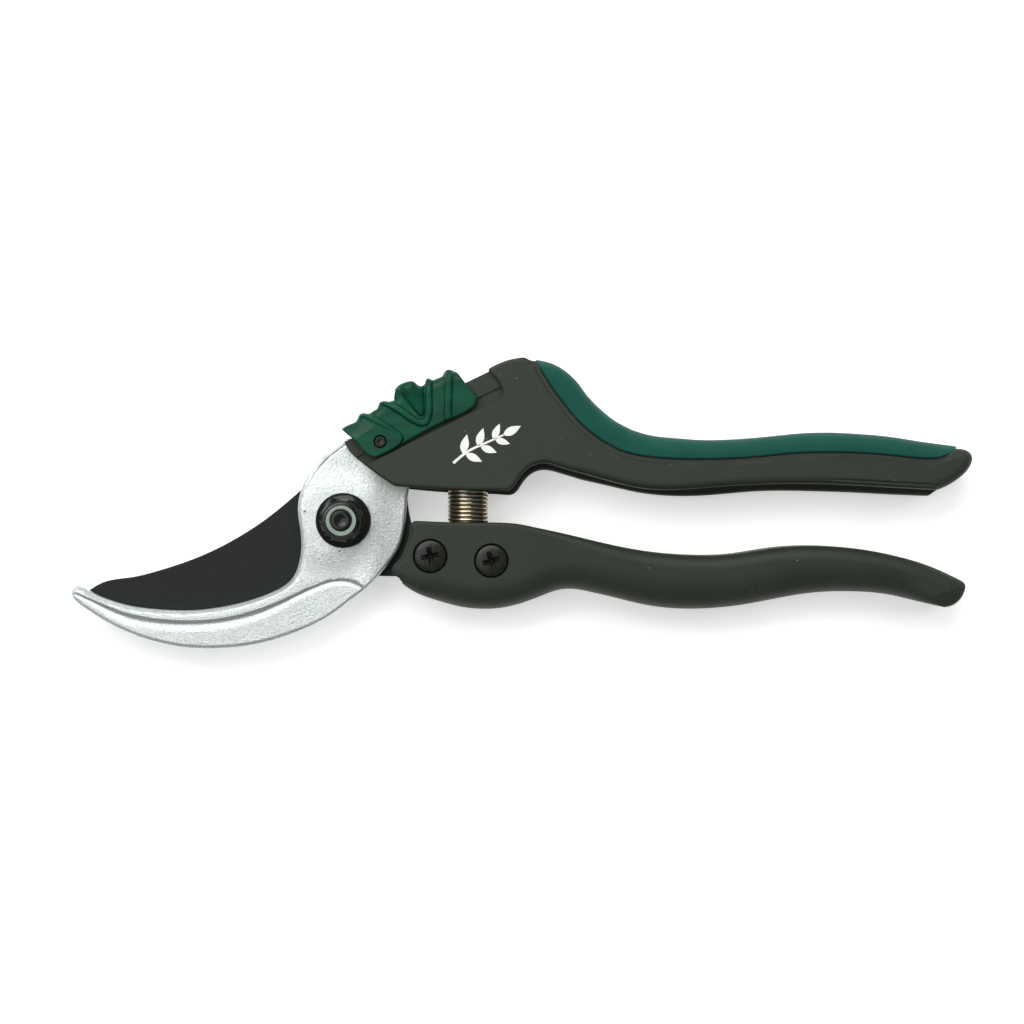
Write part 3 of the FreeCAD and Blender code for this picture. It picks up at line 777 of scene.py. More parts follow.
class PRUNER_OT_pivot(bpy.types.Operator):
    """Builds the bolt, washer, bushing, flange nut and its nylon ring"""
    bl_idname = "pruner.pivot"
    bl_label = "Pivot"

    flats = 10.0

    def execute(self, context):
        black = finish("oiled")
        self.bolt(black)
        low, high = heights("pivot_washer")
        piece("washer", ring([(BOLT_BORE, low + 0.1), (3.2, low), (6.8, low), (7.0, low + 0.2),
                              (7.0, high - 0.2), (6.8, high), (3.2, high),
                              (BOLT_BORE, high - 0.1)]),
              finish("zinc"), "upper", ["pivot_washer"])
        low, high = heights("pivot_bushing")
        piece("bushing", ring([(BOLT_BORE, low + 0.3), (3.3, low), (4.8, low),
                               (BUSHING_RADIUS, low + 0.2), (BUSHING_RADIUS, high - 0.2),
                               (4.8, high), (3.3, high), (BOLT_BORE, high - 0.3)]),
              finish("bronze"), "lower", ["pivot_bushing"])
        self.nut(black)
        low, high = heights("pivot_nut_insert")
        piece("nut_ring", ring([(2.62, low), (3.7, low), (3.7, high - 0.1), (3.55, high),
                                (2.85, high), (2.62, high - 0.25)]),
              finish("nylon"), "upper", ["pivot_nut_insert"])
        return {"FINISHED"}

    def bolt(self, black):
        """Hexagon head with a domed face, shank and a chamfered end with a centre dimple."""
        low, high = heights("pivot_bolt")
        head_high = heights("pivot_washer")[0]
        corner, slope = hexagon_corner(self.flats, 4.75)
        head = turned([(0, low), (4.75, low), (corner, low + slope), (corner, head_high),
                       (0, head_high)], steps=144, hexagon=self.flats, turn=22)
        shank = turned([(0, head_high - 0.2), (3.0, head_high - 0.2), (3.0, high - 1.2),
                        (2.62, high - 0.75), (2.5, high - 0.35), (2.32, high - 0.12),
                        (1.9, high - 0.02), (1.3, high - 0.06), (0.8, high - 0.3), (0, high - 0.4)])
        piece("bolt", joined(head, shank), black, "upper", ["pivot_bolt"])

    def nut(self, black):
        """Conical flange, hexagon with chamfered corners, and the crimped collar."""
        flange = turned([(3.0, NUT_LOW), (6.2, NUT_LOW), (6.55, NUT_LOW + 0.2),
                         (6.6, NUT_LOW + 0.55), (6.5, NUT_LOW + 0.85), (6.2, NUT_LOW + 1.05),
                         (5.0, NUT_LOW + 1.75), (3.0, NUT_LOW + 1.75), (3.0, NUT_LOW)])
        low, high = NUT_LOW + 1.3, NUT_HIGH - 2.0
        corner, slope = hexagon_corner(self.flats, 4.7)
        hexagon = turned([(3.0, low), (corner, low), (corner, high - slope), (4.7, high),
                          (3.0, high), (3.0, low)], steps=144, hexagon=self.flats, turn=-8)
        collar = turned([(3.75, high - 0.3), (4.3, high - 0.3), (4.22, high + 0.3),
                         (4.2, NUT_HIGH - 0.75), (4.12, NUT_HIGH - 0.3), (3.95, NUT_HIGH - 0.05),
                         (3.75, NUT_HIGH), (3.6, NUT_HIGH - 0.08), (3.55, NUT_HIGH - 0.2),
                         (3.72, NUT_HIGH - 0.2), (3.75, high - 0.3)])
        piece("flange_nut", joined(flange, hexagon, collar), black, "upper", ["pivot_nut"])


# ---- the upper handle ---------------------------------------------------------------------

RAIL = [(0.4, 18.6), (34.7, 35.35)]
RAIL_STOP = [(34.7, 35.35), (34.85, 36.05)]
HUMP = [(34.85, 36.05), (35.8, 36.6), (37.3, 37.3), (39.3, 38.05), (41.7, 38.55), (43.5, 38.6),
        (44.4, 38.15), (46.3, 37.9)]
PAD_FOOT = [(46.3, 37.9), (48.5, 33.6), (52.5, 28.0), (56.4, 23.3), (61.2, 19.3)]
PAD_FOOT_LOW = [(61.2, 19.3), (66.0, 16.7), (73.1, 15.1), (81.0, 14.6), (88.9, 14.6),
                (99.5, 15.2), (106.2, 15.9), (114.0, 16.2), (123.3, 16.0), (132.8, 15.2),
                (138.2, 14.7), (142.0, 15.0), (145.9, 17.1)]
SHELL_UPPER = [RAIL, RAIL_STOP, HUMP, PAD_FOOT, PAD_FOOT_LOW]
FRONT_LOWER = [
    [(12.4, 8.2), (20.0, 7.6), (32.0, 7.1)],
    [(32.0, 7.1), (32.2, 7.1)],
    [(32.2, 7.1), (37.5, 7.05), (39.8, 7.3), (41.2, 8.9)],
    [(41.2, 8.9), (43.0, 11.4), (45.3, 13.1), (48.1, 13.7), (51.3, 12.9), (57.2, 11.2)],
    [(57.2, 11.2), (65.1, 9.0), (71.1, 7.7), (78.0, 7.3), (88.9, 8.0), (99.5, 8.6),
     (111.0, 8.8), (125.2, 8.2), (134.0, 7.7), (141.7, 7.3)]]
REAR_LOWER = [
    [(12.4, 8.0), (16.1, 7.5), (32.0, 6.4)],
    [(32.0, 6.4), (32.2, 6.4)],
    [(32.2, 6.4), (38.0, 6.2), (40.6, 6.35), (41.9, 7.5)],
    [(41.9, 7.5), (43.6, 10.0), (45.4, 11.5), (47.9, 12.2), (51.3, 11.6), (57.2, 9.8)],
    [(57.2, 9.8), (65.1, 8.0), (71.1, 6.7), (79.0, 5.9), (86.9, 6.0), (99.5, 7.0),
     (110.0, 7.1), (125.2, 6.6), (133.0, 6.2), (140.6, 5.9)]]
SHELL_FRONT_EDGE = [(12.4, 8.2), (9.8, 9.9), (5.4, 13.1), (2.4, 15.6), (1.2, 17.1), (0.4, 18.6)]
SHELL_END = [(141.7, 7.3), (143.6, 8.1), (146.5, 9.9), (148.7, 12.0), (149.7, 13.8),
             (149.85, 15.1), (149.1, 16.3), (147.9, 16.9), (145.9, 17.1)]
SHELL_COUNTS = (80, 5, 40, 60, 190)

# The floor of the lock's recess, its rail band, and the low step beside the slider
RECESS_FLOOR = [(2.0, 13.1), (5.9, 13.4), (31.6, 26.1), (34.9, 27.5)]
RECESS_END = [(34.9, 27.5), (36.6, 28.1), (37.8, 29.2), (38.15, 30.6), (37.7, 32.15),
              (36.8, 33.5), (35.8, 34.6), (35.0, 35.6), (34.5, 36.4)]
RAIL_EDGE = [(1.0, 14.0), (37.4, 31.75)]


def shell_plate(lower):
    """The grid of one shell of the upper handle, above its own lower edge."""
    left = [lower[0][0]] + SHELL_FRONT_EDGE[1:]
    right = [lower[-1][-1]] + SHELL_END[1:]
    return Plate(lower, SHELL_UPPER, SHELL_COUNTS, left, right, 60, hold=9.0)


def front_shell_skin():
    """The front panel: flat by the lock, a little crowned along the grip, with rounded edges, a
    narrow seam and a fine step below the grip pad and a hairline groove near the end."""
    plate = shell_plate(FRONT_LOWER)
    grip = ramp(plate.x, 42.0, 62.0)
    beside_pad = ramp(plate.x, 43.5, 45.5) * (1 - ramp(plate.x, 143.0, 145.5))
    step = beside_pad * (0.32 * (1 - ramp(plate.from_upper, 1.15, 1.45))
                         + 0.6 * (1 - ramp(plate.from_upper, 0.1, 0.3)))
    groove_run = ramp(plate.x, 112.0, 122.0) * (1 - ramp(plate.x, 139.5, 141.5))
    groove = 0.3 * groove_run * np.exp(-((plate.from_lower - 1.05) / 0.22) ** 2)
    foot = roll(plate.from_lower, 0.9 + 0.9 * grip, 0.7 + 0.7 * grip)
    top = roll(plate.from_upper, 0.8, 0.55) * (1 - beside_pad)
    ends = together(roll(plate.from_left, 0.8, 0.6), roll(plate.from_right, 2.6, 2.4))
    front = HANDLE_HIGH - step - groove - together(foot, top, ends)
    return slab(plate.xy, front, np.full_like(front, SPLIT))


def rear_shell_skin():
    """The rear shell: its foot reaches further down than the front panel's and rolls away."""
    plate = shell_plate(REAR_LOWER)
    grip = ramp(plate.x, 42.0, 62.0)
    foot = roll(plate.from_lower, 1.0 + 1.6 * grip, 0.8 + 1.6 * grip)
    rims = together(foot, roll(plate.from_upper, 0.8, 0.6), roll(plate.from_left, 0.8, 0.6),
                    roll(plate.from_right, 2.6, 2.4))
    ledge = roll(plate.from_lower, 2.1, 1.7)
    return slab(plate.xy, SPLIT - ledge, HANDLE_LOW + rims)


def recess_tools(face, inward):
    """What is cut from a shell's face for the slider: 2 mm deep under the rail's edge, with a
    step beside the slider's end, and 1.5 mm deep above it. Its rim is chamfered by 0.2 mm."""
    end = smooth(RECESS_END, np.linspace(0, 1, 24))
    whole = np.concatenate([RECESS_FLOOR[:-1], end, [(34.0, 42.0), (-6.0, 30.0)]])
    below_rail = np.array(RAIL_EDGE)
    reach = np.interp(end[:, 0], below_rail[:, 0], below_rail[:, 1])
    low_part = np.concatenate([RECESS_FLOOR[:-1], end[end[:, 1] < reach - 0.05],
                               below_rail[::-1]])
    # A hair inside the other cut, so that no two walls coincide
    low_part += 0.002 * (low_part.mean(0) - low_part)
    step = [(14.0, 17.9), (33.8, 27.6), (33.0, 29.4), (14.0, 20.1)]

    def depth(millimetres):
        """A height that far under the shell's face."""
        return face + inward * millimetres

    chamfered = [(depth(1.5), 0), (depth(0.2), 0), (depth(-0.1), 0.3), (depth(-2), 0.3)]
    return [layered(whole, chamfered), prism(low_part, depth(2.0), depth(-2)),
            prism(step, depth(2.2), depth(-2))]


def pocket(low, high):
    """The return spring's pocket, between two distances along the spring's axis."""
    return sideways(post(0, 0, SPRING_POCKET_RADIUS, low, high), SPRING_X, 0, SPRING_Z)


class PRUNER_OT_upper_handle(bpy.types.Operator):
    """Builds the two shells of the upper handle"""
    bl_idname = "pruner.upper_handle"
    bl_label = "Upper handle"

    def execute(self, context):
        coat = finish("shell")
        spring = pocket(0, SPRING_ENDS[1])
        slot = self.pin_slot()
        tang = prism([(8, 9.0), (15.6, 8.3), (19.6, 13.6), (24, 17.7), (38.4, 22.6), (37, 31.8),
                      (26, 27.6), (18.5, 24.4), (3, 19.4), (-1, 18), (4, 12.0)],
                     SPLIT - 1, HOOK_HIGH + 0.02)
        piece("upper_shell_front", front_shell_skin(), coat, "upper", ["upper_handle_front"],
              [*recess_tools(HANDLE_HIGH, -1), spring, slot, tang])
        heel = post(0, 0, HEEL_SWEEP, BLADE_LOW - 0.1, SPLIT + 2, steps=96)
        heads = posts_at([f"upper_handle_screw_{i}" for i in range(1, 5)], SHELL_SCREW_SEAT, -1,
                         2.4)
        piece("upper_shell_rear", rear_shell_skin(), coat, "upper", ["upper_handle_rear"],
              [*recess_tools(HANDLE_LOW, 1), spring, slot, heel, joined(*heads)])
        return {"FINISHED"}

    def pin_slot(self):
        """The lock pin's slot: half circles of the slot's width about both ends of its travel."""
        travel = next(j for j in frame["joints"] if j["name"] == "lock_slide")["range_m"][1] / MM
        along = np.array([math.cos(RAIL_ANGLE), math.sin(RAIL_ANGLE)])
        start = np.array([PIN_X, PIN_Y])
        turn = np.linspace(-90, 90, 13)
        arc = np.radians(turn) + RAIL_ANGLE
        cap = PIN_SLOT * np.c_[np.cos(arc), np.sin(arc)]
        return prism(np.concatenate([start + along * travel + cap, start - cap]), -1, 18)


# ---- the grip pad -------------------------------------------------------------------------

PAD_BACK = [
    [(46.1, 38.4), (49.3, 37.7), (53.2, 35.6), (56.0, 32.9), (58.4, 29.7), (61.2, 26.8),
     (65.1, 23.7), (69.1, 21.6)],
    [(69.1, 21.6), (73.2, 20.4), (79.0, 19.7), (85.2, 19.25), (92.4, 19.35), (101.9, 20.1),
     (109.0, 20.8), (116.2, 21.0), (124.2, 20.6), (130.6, 20.0), (137.0, 19.0),
     (145.9, 17.8)]]
PAD_START = [(46.3, 37.9), (46.1, 38.15), (46.1, 38.4)]
PAD_STOP = [(145.9, 17.1), (146.15, 17.45), (145.9, 17.8)]


class PRUNER_OT_grip_pad(bpy.types.Operator):
    """Builds the soft pad along the back of the upper handle"""
    bl_idname = "pruner.grip_pad"
    bl_label = "Grip pad"

    def execute(self, context):
        plate = Plate([PAD_FOOT, PAD_FOOT_LOW], PAD_BACK, (90, 190), PAD_START, PAD_STOP, 48,
                      hold=1.5)
        rounding = roll(plate.from_upper, 3.4, 4.6)
        lip = roll(plate.from_lower, 0.5, 0.6)
        ends = together(roll(plate.from_left, 1.6, 1.2), roll(plate.from_right, 2.4, 1.6))
        rims = together(rounding, lip, ends)
        skin = slab(plate.xy, HANDLE_HIGH - 0.15 - rims, HANDLE_LOW + 0.15 + rims)
        piece("soft_grip", skin, finish("grip"), "upper", ["grip_pad"], crease=60)
        return {"FINISHED"}


# ---- the lock -----------------------------------------------------------------------------

SLIDER_FOOT = [
    [(0.2, 21.3), (0.9, 20.7), (3.3, 18.7), (6.9, 15.2), (7.8, 14.9)],
    [(7.8, 14.9), (11.0, 16.3), (18.6, 20.6), (26.0, 24.2), (30.4, 26.4), (31.5, 27.3)]]
SLIDER_BACK = [
    [(-0.1, 21.9), (1.6, 22.8), (3.3, 23.7), (3.7, 24.6), (4.3, 25.3), (5.2, 25.5),
     (6.2, 25.4), (7.4, 26.1), (8.3, 26.7), (8.6, 27.6), (9.2, 28.2), (10.0, 28.35),
     (11.0, 28.2)],
    [(11.0, 28.2), (12.5, 29.0), (12.45, 30.0), (12.5, 31.2), (13.6, 32.2), (15.6, 32.95),
     (16.9, 33.0), (17.8, 32.3), (18.7, 31.9), (19.5, 32.5), (19.8, 33.4), (20.5, 33.75),
     (21.3, 33.4), (22.4, 33.75), (23.8, 34.45), (24.2, 35.3), (24.9, 35.8), (25.7, 35.8),
     (26.5, 35.5), (27.3, 35.2)]]
SLIDER_RIGHT = [(31.5, 27.3), (31.9, 28.7), (30.4, 31.2), (27.3, 35.2)]
SLIDER_LEFT = [(0.2, 21.3), (-0.1, 21.6), (-0.1, 21.9)]
# Ribs as paths, each with its half-width
PIN_BOSS = [(4.6, 25.9), (8.0, 24.6), (11.6, 22.5), (13.7, 20.9), (14.5, 19.6), (13.9, 18.2),
            (11.6, 16.4), (9.5, 14.2)]
V_RIB = [(9.2, 28.6), (12.5, 26.9), (16.2, 24.4), (18.3, 23.3), (19.5, 23.2), (20.3, 24.4),
         (20.6, 28.0), (20.6, 34.2)]
BAR_RIB = [(25.1, 24.5), (25.2, 30.0), (25.5, 36.2)]
KNOB_LINE = [(15.4, 33.4), (17.0, 29.4), (18.7, 25.2)]
FACET_EDGE = [(3.0, 19.0), (5.0, 20.5), (7.3, 22.0), (8.4, 24.0), (8.8, 26.5)]


def slider_skin(sizes):
    """The slider as heights over its outline: a base that rolls over the rail, a boss round the
    pin that ends in a facet, ribs with round shoulders, and a knob that tapers down from the
    back like a teardrop."""
    plate = Plate(SLIDER_FOOT, SLIDER_BACK, (90, 190), SLIDER_LEFT, SLIDER_RIGHT, 150, hold=6.0)
    fine = np.linspace(0, 1, 120)
    rib = sizes.rib_height / MM
    base = HANDLE_HIGH + 0.1

    off, side = distance(plate.xy, smooth(PIN_BOSS, fine))
    boss = rib * ramp(-side * off, -0.2, 0.3)
    boss_rim = 0.25 * np.exp(-((-side * off - 0.9) / 0.5) ** 2) * ramp(plate.y, 20.5, 23.0)
    off, side = distance(plate.xy, smooth(FACET_EDGE, fine))
    facet = np.where(boss > 0.5 * rib, np.clip(side * off, 0, 4) * 0.34, 0.0)
    in_facet = 1 - ramp(plate.from_upper, 0.4, 1.6)
    facet *= 1 - 0.75 * in_facet * ramp(plate.x, 3.0, 4.5)

    def ridge(path, half):
        """A rib's height by its distance from its path: sqrt(1 - (distance / half)^4)."""
        off = distance(plate.xy, smooth(path, fine))[0]
        return rib * np.sqrt(np.clip(1 - (off / half) ** 4, 0, 1))

    ribs = np.maximum(ridge(V_RIB, 0.85), ridge(BAR_RIB, 0.95))
    line = smooth(KNOB_LINE, fine)
    off = distance(plate.xy, line)[0]
    down = np.clip((33.4 - plate.y) / 9.0, 0, 1)
    half = 3.2 * (1 - down) ** 0.8 + 0.25
    knob = (1.5 * (1 - down) ** 0.6 + 0.35) * np.sqrt(np.clip(1 - (off / half) ** 2, 0, 1))
    hollow = 0.35 * np.exp(-((plate.x - 16.5) / 4.2) ** 2 - ((plate.y - 27.0) / 2.6) ** 2)

    roll_over = roll(plate.from_upper, 2.4, 1.9, 2.2)
    edges = together(roll(plate.from_lower, 0.5, 0.4), roll(plate.from_right, 0.5, 0.4),
                     roll(plate.from_left, 0.6, 0.4))
    relief = np.maximum(np.maximum(boss + boss_rim - facet, ribs), knob) - hollow * (ribs < 0.05)
    front = base + relief - roll_over - edges
    rear_relief = np.maximum(np.maximum(boss, ribs) * 0.5, knob * 0.2)
    rear = HANDLE_LOW + 0.75 - rear_relief + roll_over + edges * 0.6
    return slab(plate.xy, front, np.maximum(rear, 0.1))


def on_rail(along, above):
    """X and Y at a distance along the slider's rail and another above its top."""
    cos, sin = math.cos(RAIL_ANGLE), math.sin(RAIL_ANGLE)
    return RAIL[0][0] + along * cos - above * sin, RAIL[0][1] + along * sin + above * cos


def rail_band(along, above, low, high):
    """A box along the rail: spans of distance along it and above its top."""
    corners = [on_rail(along[i], above[j]) for i, j in ((0, 0), (1, 0), (1, 1), (0, 1))]
    return prism(corners, low, high)


class PRUNER_OT_lock(bpy.types.Operator):
    """Builds the thumb slider, its pin and its click spring"""
    bl_idname = "pruner.lock"
    bl_label = "Lock"

    def execute(self, context):
        sizes = context.scene.pruner_sizes
        channel = rail_band((-20, 50), (-30, 0.35), HANDLE_LOW + 1.45, HANDLE_HIGH - 1.45)
        leaf_room = rail_band((8, 23), (0.2, 1.7), 5.8, 10.7)
        hole = turned([(0, -1), (1.42, -1), (1.42, HANDLE_HIGH - 1), (1.6, HANDLE_HIGH - 1),
                       (1.6, HANDLE_HIGH + 3), (0, HANDLE_HIGH + 3)], PIN_X, PIN_Y)
        piece("thumb_slider", slider_skin(sizes), finish("slider"), "lock", ["lock_slider"],
              [channel, leaf_room, hole], crease=38)
        low, high = heights("lock_pin")
        piece("lock_pin_black", turned(
            [(0, low), (1.2, low), (1.4, low + 0.2), (1.4, high - 0.15), (1.25, high + 0.02),
             (0.9, high + 0.08), (0.45, high - 0.05), (0, high - 0.1)], PIN_X, PIN_Y),
            finish("black"), "lock", ["lock_pin"])
        self.click_spring()
        return {"FINISHED"}

    def click_spring(self):
        """The bowed leaf, 0.4 mm thick: its height above the rail is a parabola along it."""
        t = np.linspace(-1, 1, 41)
        low, high = heights("lock_detent_spring")
        middle = np.stack(on_rail(15.5 + 6.9 * t, 0.62 + 0.85 * t ** 2), 1)
        up = np.array([-math.sin(RAIL_ANGLE), math.cos(RAIL_ANGLE)]) * 0.2
        section = np.stack([middle + up, middle - up], 1)
        front = np.full(section.shape[:2], high)
        piece("click_spring", slab(section, front, np.full_like(front, low)), finish("wire"),
              "lock", ["lock_detent_spring"])


# ---- the lower handle ---------------------------------------------------------------------

LOWER_FINGER_SIDE = [
    [(17.1, -0.15), (27.1, -0.5), (36.5, -0.55), (41.1, -0.8), (45.8, -1.7)],
    [(45.8, -1.7), (52.0, -3.0), (61.3, -5.2), (73.2, -7.5), (82.8, -8.3), (92.4, -8.1),
     (101.9, -6.7), (109.0, -6.1), (116.2, -6.2), (123.0, -6.8), (130.6, -8.2),
     (140.1, -11.0), (147.3, -14.3)]]
LOWER_PALM_SIDE = [
    [(13.9, -14.9), (16.6, -16.8), (22.5, -19.2), (28.7, -20.8), (33.4, -21.2), (38.0, -20.9),
     (42.7, -19.8)],
    [(42.7, -19.8), (47.3, -18.1), (51.2, -16.7), (54.5, -16.4), (58.9, -17.1), (63.7, -18.2),
     (73.2, -20.4), (80.0, -21.1), (88.0, -21.0), (96.0, -20.1), (106.7, -18.1),
     (113.5, -17.2), (121.0, -17.0), (128.7, -17.5), (138.9, -19.7), (143.3, -20.7)]]
CHEEK = [(13.9, -14.9), (12.1, -12.7), (11.8, -11.8), (13.5, -9.3), (15.0, -6.1), (15.9, -2.9),
         (16.3, -0.8), (17.1, -0.15)]
LOWER_END = [(143.3, -20.7), (145.2, -20.2), (146.9, -18.9), (148.0, -17.0), (148.2, -15.3),
             (147.3, -14.3)]


def lower_handle_skin(sizes):
    """The lower handle: flat by the screws and along the fingers, rolling away towards the palm
    over a width that grows along the grip."""
    plate = Plate(LOWER_PALM_SIDE, LOWER_FINGER_SIDE, (110, 230), CHEEK, LOWER_END, 72, hold=9.0)
    grip = ramp(plate.x, 38.0, 75.0)
    head = 1 - ramp(plate.x, 14.0, 24.0)
    end = 1 - 0.7 * ramp(plate.x, 131.0, 142.0)
    palm = sizes.palm_roll / MM
    drops = together(
        roll(plate.from_lower, (palm + 1.3 * grip - 3.5 * head) * end,
             (palm - 0.8) * (1 - 0.5 * head) * end, 2.2),
        roll(plate.from_upper, 0.7 + 2.6 * grip, 0.5 + 2.2 * grip),
        chamfer(plate.from_left, 1.15, 0.7),
        chamfer(plate.from_right, 3.6, 1.5) + roll(plate.from_right, 0.8, 0.8))
    return slab(plate.xy, HANDLE_HIGH - drops, HANDLE_LOW + drops)


class PRUNER_OT_lower_handle(bpy.types.Operator):
    """Builds the lower handle, slotted for the blade's tang"""
    bl_idname = "pruner.lower_handle"
    bl_label = "Lower handle"

    def execute(self, context):
        tang = prism([(9, -14.2), (43.7, -14.2), (46.4, -10.2), (43.9, -6.4), (23, -5.5),
                      (18.5, -3.7), (16.4, 1.0), (9, 1.0)], BLADE_LOW - 0.05, BLADE_HIGH + 0.05)
        spring = pocket(SPRING_ENDS[0], 3.0)
        # The front cheek stops short of the rear one at the lower corner
        notch = prism([(10.0, -12.6), (12.0, -12.75), (13.4, -13.6), (15.1, -14.72),
                       (14.1, -14.95), (13.6, -16.5), (10.0, -15.5)], SPLIT - 0.6, 20)
        sinks = []
        for i, turn in HANDLE_SCREW_TURNS:
            x, y = centre_of(f"lower_handle_screw_{i}")[:2]
            sinks.append(turned([(0, -1), (6, -1), (6, 3.6), (0, 3.6)], x, y, 72,
                                HANDLE_NUT_FLATS + 0.1, turn))
            sinks.append(turned([(0, 13.9), (HANDLE_SCREW_SEAT, 13.9),
                                 (HANDLE_SCREW_SEAT, HANDLE_HIGH - 0.2),
                                 (4.3, HANDLE_HIGH + 0.05), (4.3, 20), (0, 20)], x, y, 72))
        piece("lower_handle_coated", lower_handle_skin(sizes=context.scene.pruner_sizes),
              finish("lower"), "lower", ["lower_handle"],
              [tang, spring, notch, joined(*sinks)])
        return {"FINISHED"}


# ---- screws, nuts and dowels --------------------------------------------------------------

def cross_tool(x, y, span, turn):
    """A cross-point driver's tip: two crossed wedges that taper downwards from height 0."""
    arms = []
    for quarter in (0, 90):
        a = math.radians(turn + quarter)
        along, across = np.array([math.cos(a), math.sin(a)]), np.array([-math.sin(a), math.cos(a)])
        layers = []
        for half, wide, z in ((span * 0.06, 0.08, -1.7), (span / 2, 0.62, 0.01),
                              (span / 2, 0.62, 1.0)):
            for u, v in ((-1, -1), (1, -1), (1, 1), (-1, 1)):
                layers.append([*(np.array([x, y]) + u * half * along + v * wide * across), z])
        sides = grid_faces(3, 4, closed=True)[:, ::-1].tolist()
        arms.append((np.array(layers), sides + [[3, 2, 1, 0], [8, 9, 10, 11]]))
    return arms


def screw(name, node, body, head_radius, head_low, head_high, shank, end, turn):
    """A screw whose domed head faces +Z, or -Z when its head is the lower end."""
    x, y, _ = centre_of(node)
    up = 1 if head_high > head_low else -1
    dome = [(0, 0.0), (head_radius * 0.45, -0.03), (head_radius * 0.8, -0.14),
            (head_radius * 0.94, -0.36), (head_radius, -0.75)]
    profile = [(0, end), (shank - 0.3, end), (shank, end + 0.5 * up), (shank, head_low),
               (head_radius, head_low)] + [(r, head_high + z * up) for r, z in dome[::-1]]
    cross = [(np.c_[v[:, :2], head_high + up * v[:, 2]], f)
             for v, f in cross_tool(x, y, head_radius * 1.2, turn)]
    piece(name, turned(profile, x, y, 64), finish("black"), body, [node], cross)


class PRUNER_OT_fasteners(bpy.types.Operator):
    """Builds the handles' screws and nuts and the hook's dowels"""
    bl_idname = "pruner.fasteners"
    bl_label = "Fasteners"

    def execute(self, context):
        for i, turn in HANDLE_SCREW_TURNS:
            node = f"lower_handle_screw_{i}"
            low, high = heights(node)
            screw(f"handle_screw_{i}", node, "lower", HANDLE_SCREW_HEAD, high - 2.5, high,
                  HANDLE_SCREW_RADIUS, low, turn)
            self.nut(i, turn)
        for i in range(1, 5):
            node = f"upper_handle_screw_{i}"
            low, high = heights(node)
            screw(f"shell_screw_{i}", node, "upper", SHELL_SCREW_HEAD, low + 1.9, low,
                  SHELL_SCREW_RADIUS, high, 20 + 37 * i)
        for i in (1, 2):
            node = f"hook_locating_pin_{i}"
            x, y, _ = centre_of(node)
            low, high = heights(node)
            piece(f"dowel_{i}", turned(
                [(0, low), (1.7, low), (DOWEL_RADIUS, low + 0.3), (DOWEL_RADIUS, high - 0.3),
                 (1.7, high), (0, high)], x, y), finish("zinc"), "upper", [node])
        return {"FINISHED"}

    def nut(self, i, turn):
        """A hexagon nut with chamfered corners and a threaded bore's chamfer."""
        node = f"lower_handle_nut_{i}"
        x, y, _ = centre_of(node)
        low, high = heights(node)
        corner, slope = hexagon_corner(HANDLE_NUT_FLATS, 3.3)
        profile = [(2.0, low + 0.3), (2.3, low), (3.3, low), (corner, low + slope),
                   (corner, high - slope), (3.3, high), (2.3, high), (2.0, high - 0.3),
                   (2.0, low + 0.3)]
        piece(f"handle_nut_{i}", turned(profile, x, y, 96, HANDLE_NUT_FLATS, turn),
              finish("black"), "lower", [node])


# ---- the return spring --------------------------------------------------------------------

class PRUNER_OT_return_spring(bpy.types.Operator):
    """Builds the return spring, which stretches between the handles"""
    bl_idname = "pruner.return_spring"
    bl_label = "Return spring"

    def execute(self, context):
        sizes = context.scene.pruner_sizes
        radius = sizes.wire / MM / 2
        low, high = SPRING_ENDS
        coil, steps_round_coil, steps_round_wire = 4.42, 44, 14
        turns = (high - low - 2 * radius) / (sizes.wire_pitch / MM)
        walk = np.linspace(0, 1, int(turns * steps_round_coil))[:, None]
        around = 2 * np.pi * turns * walk
        section = np.linspace(0, 2 * np.pi, steps_round_wire, endpoint=False)[None]
        out = coil + radius * np.cos(section)
        along = low + radius + (high - low - 2 * radius) * walk + radius * np.sin(section)
        verts = np.stack([SPRING_X + out * np.cos(around), along,
                          SPRING_Z + out * np.sin(around)], -1).reshape(-1, 3)
        faces = grid_faces(len(walk), steps_round_wire, closed=True).tolist()
        ends = np.arange(len(verts)).reshape(-1, steps_round_wire)[[0, -1]].tolist()
        faces += [ends[0], ends[1][::-1]]
        made = piece("spring_coil", (verts, faces), finish("wire"), None, ["return_spring"])
        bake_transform(made)
        return {"FINISHED"}


# ---- the printed mark ---------------------------------------------------------------------

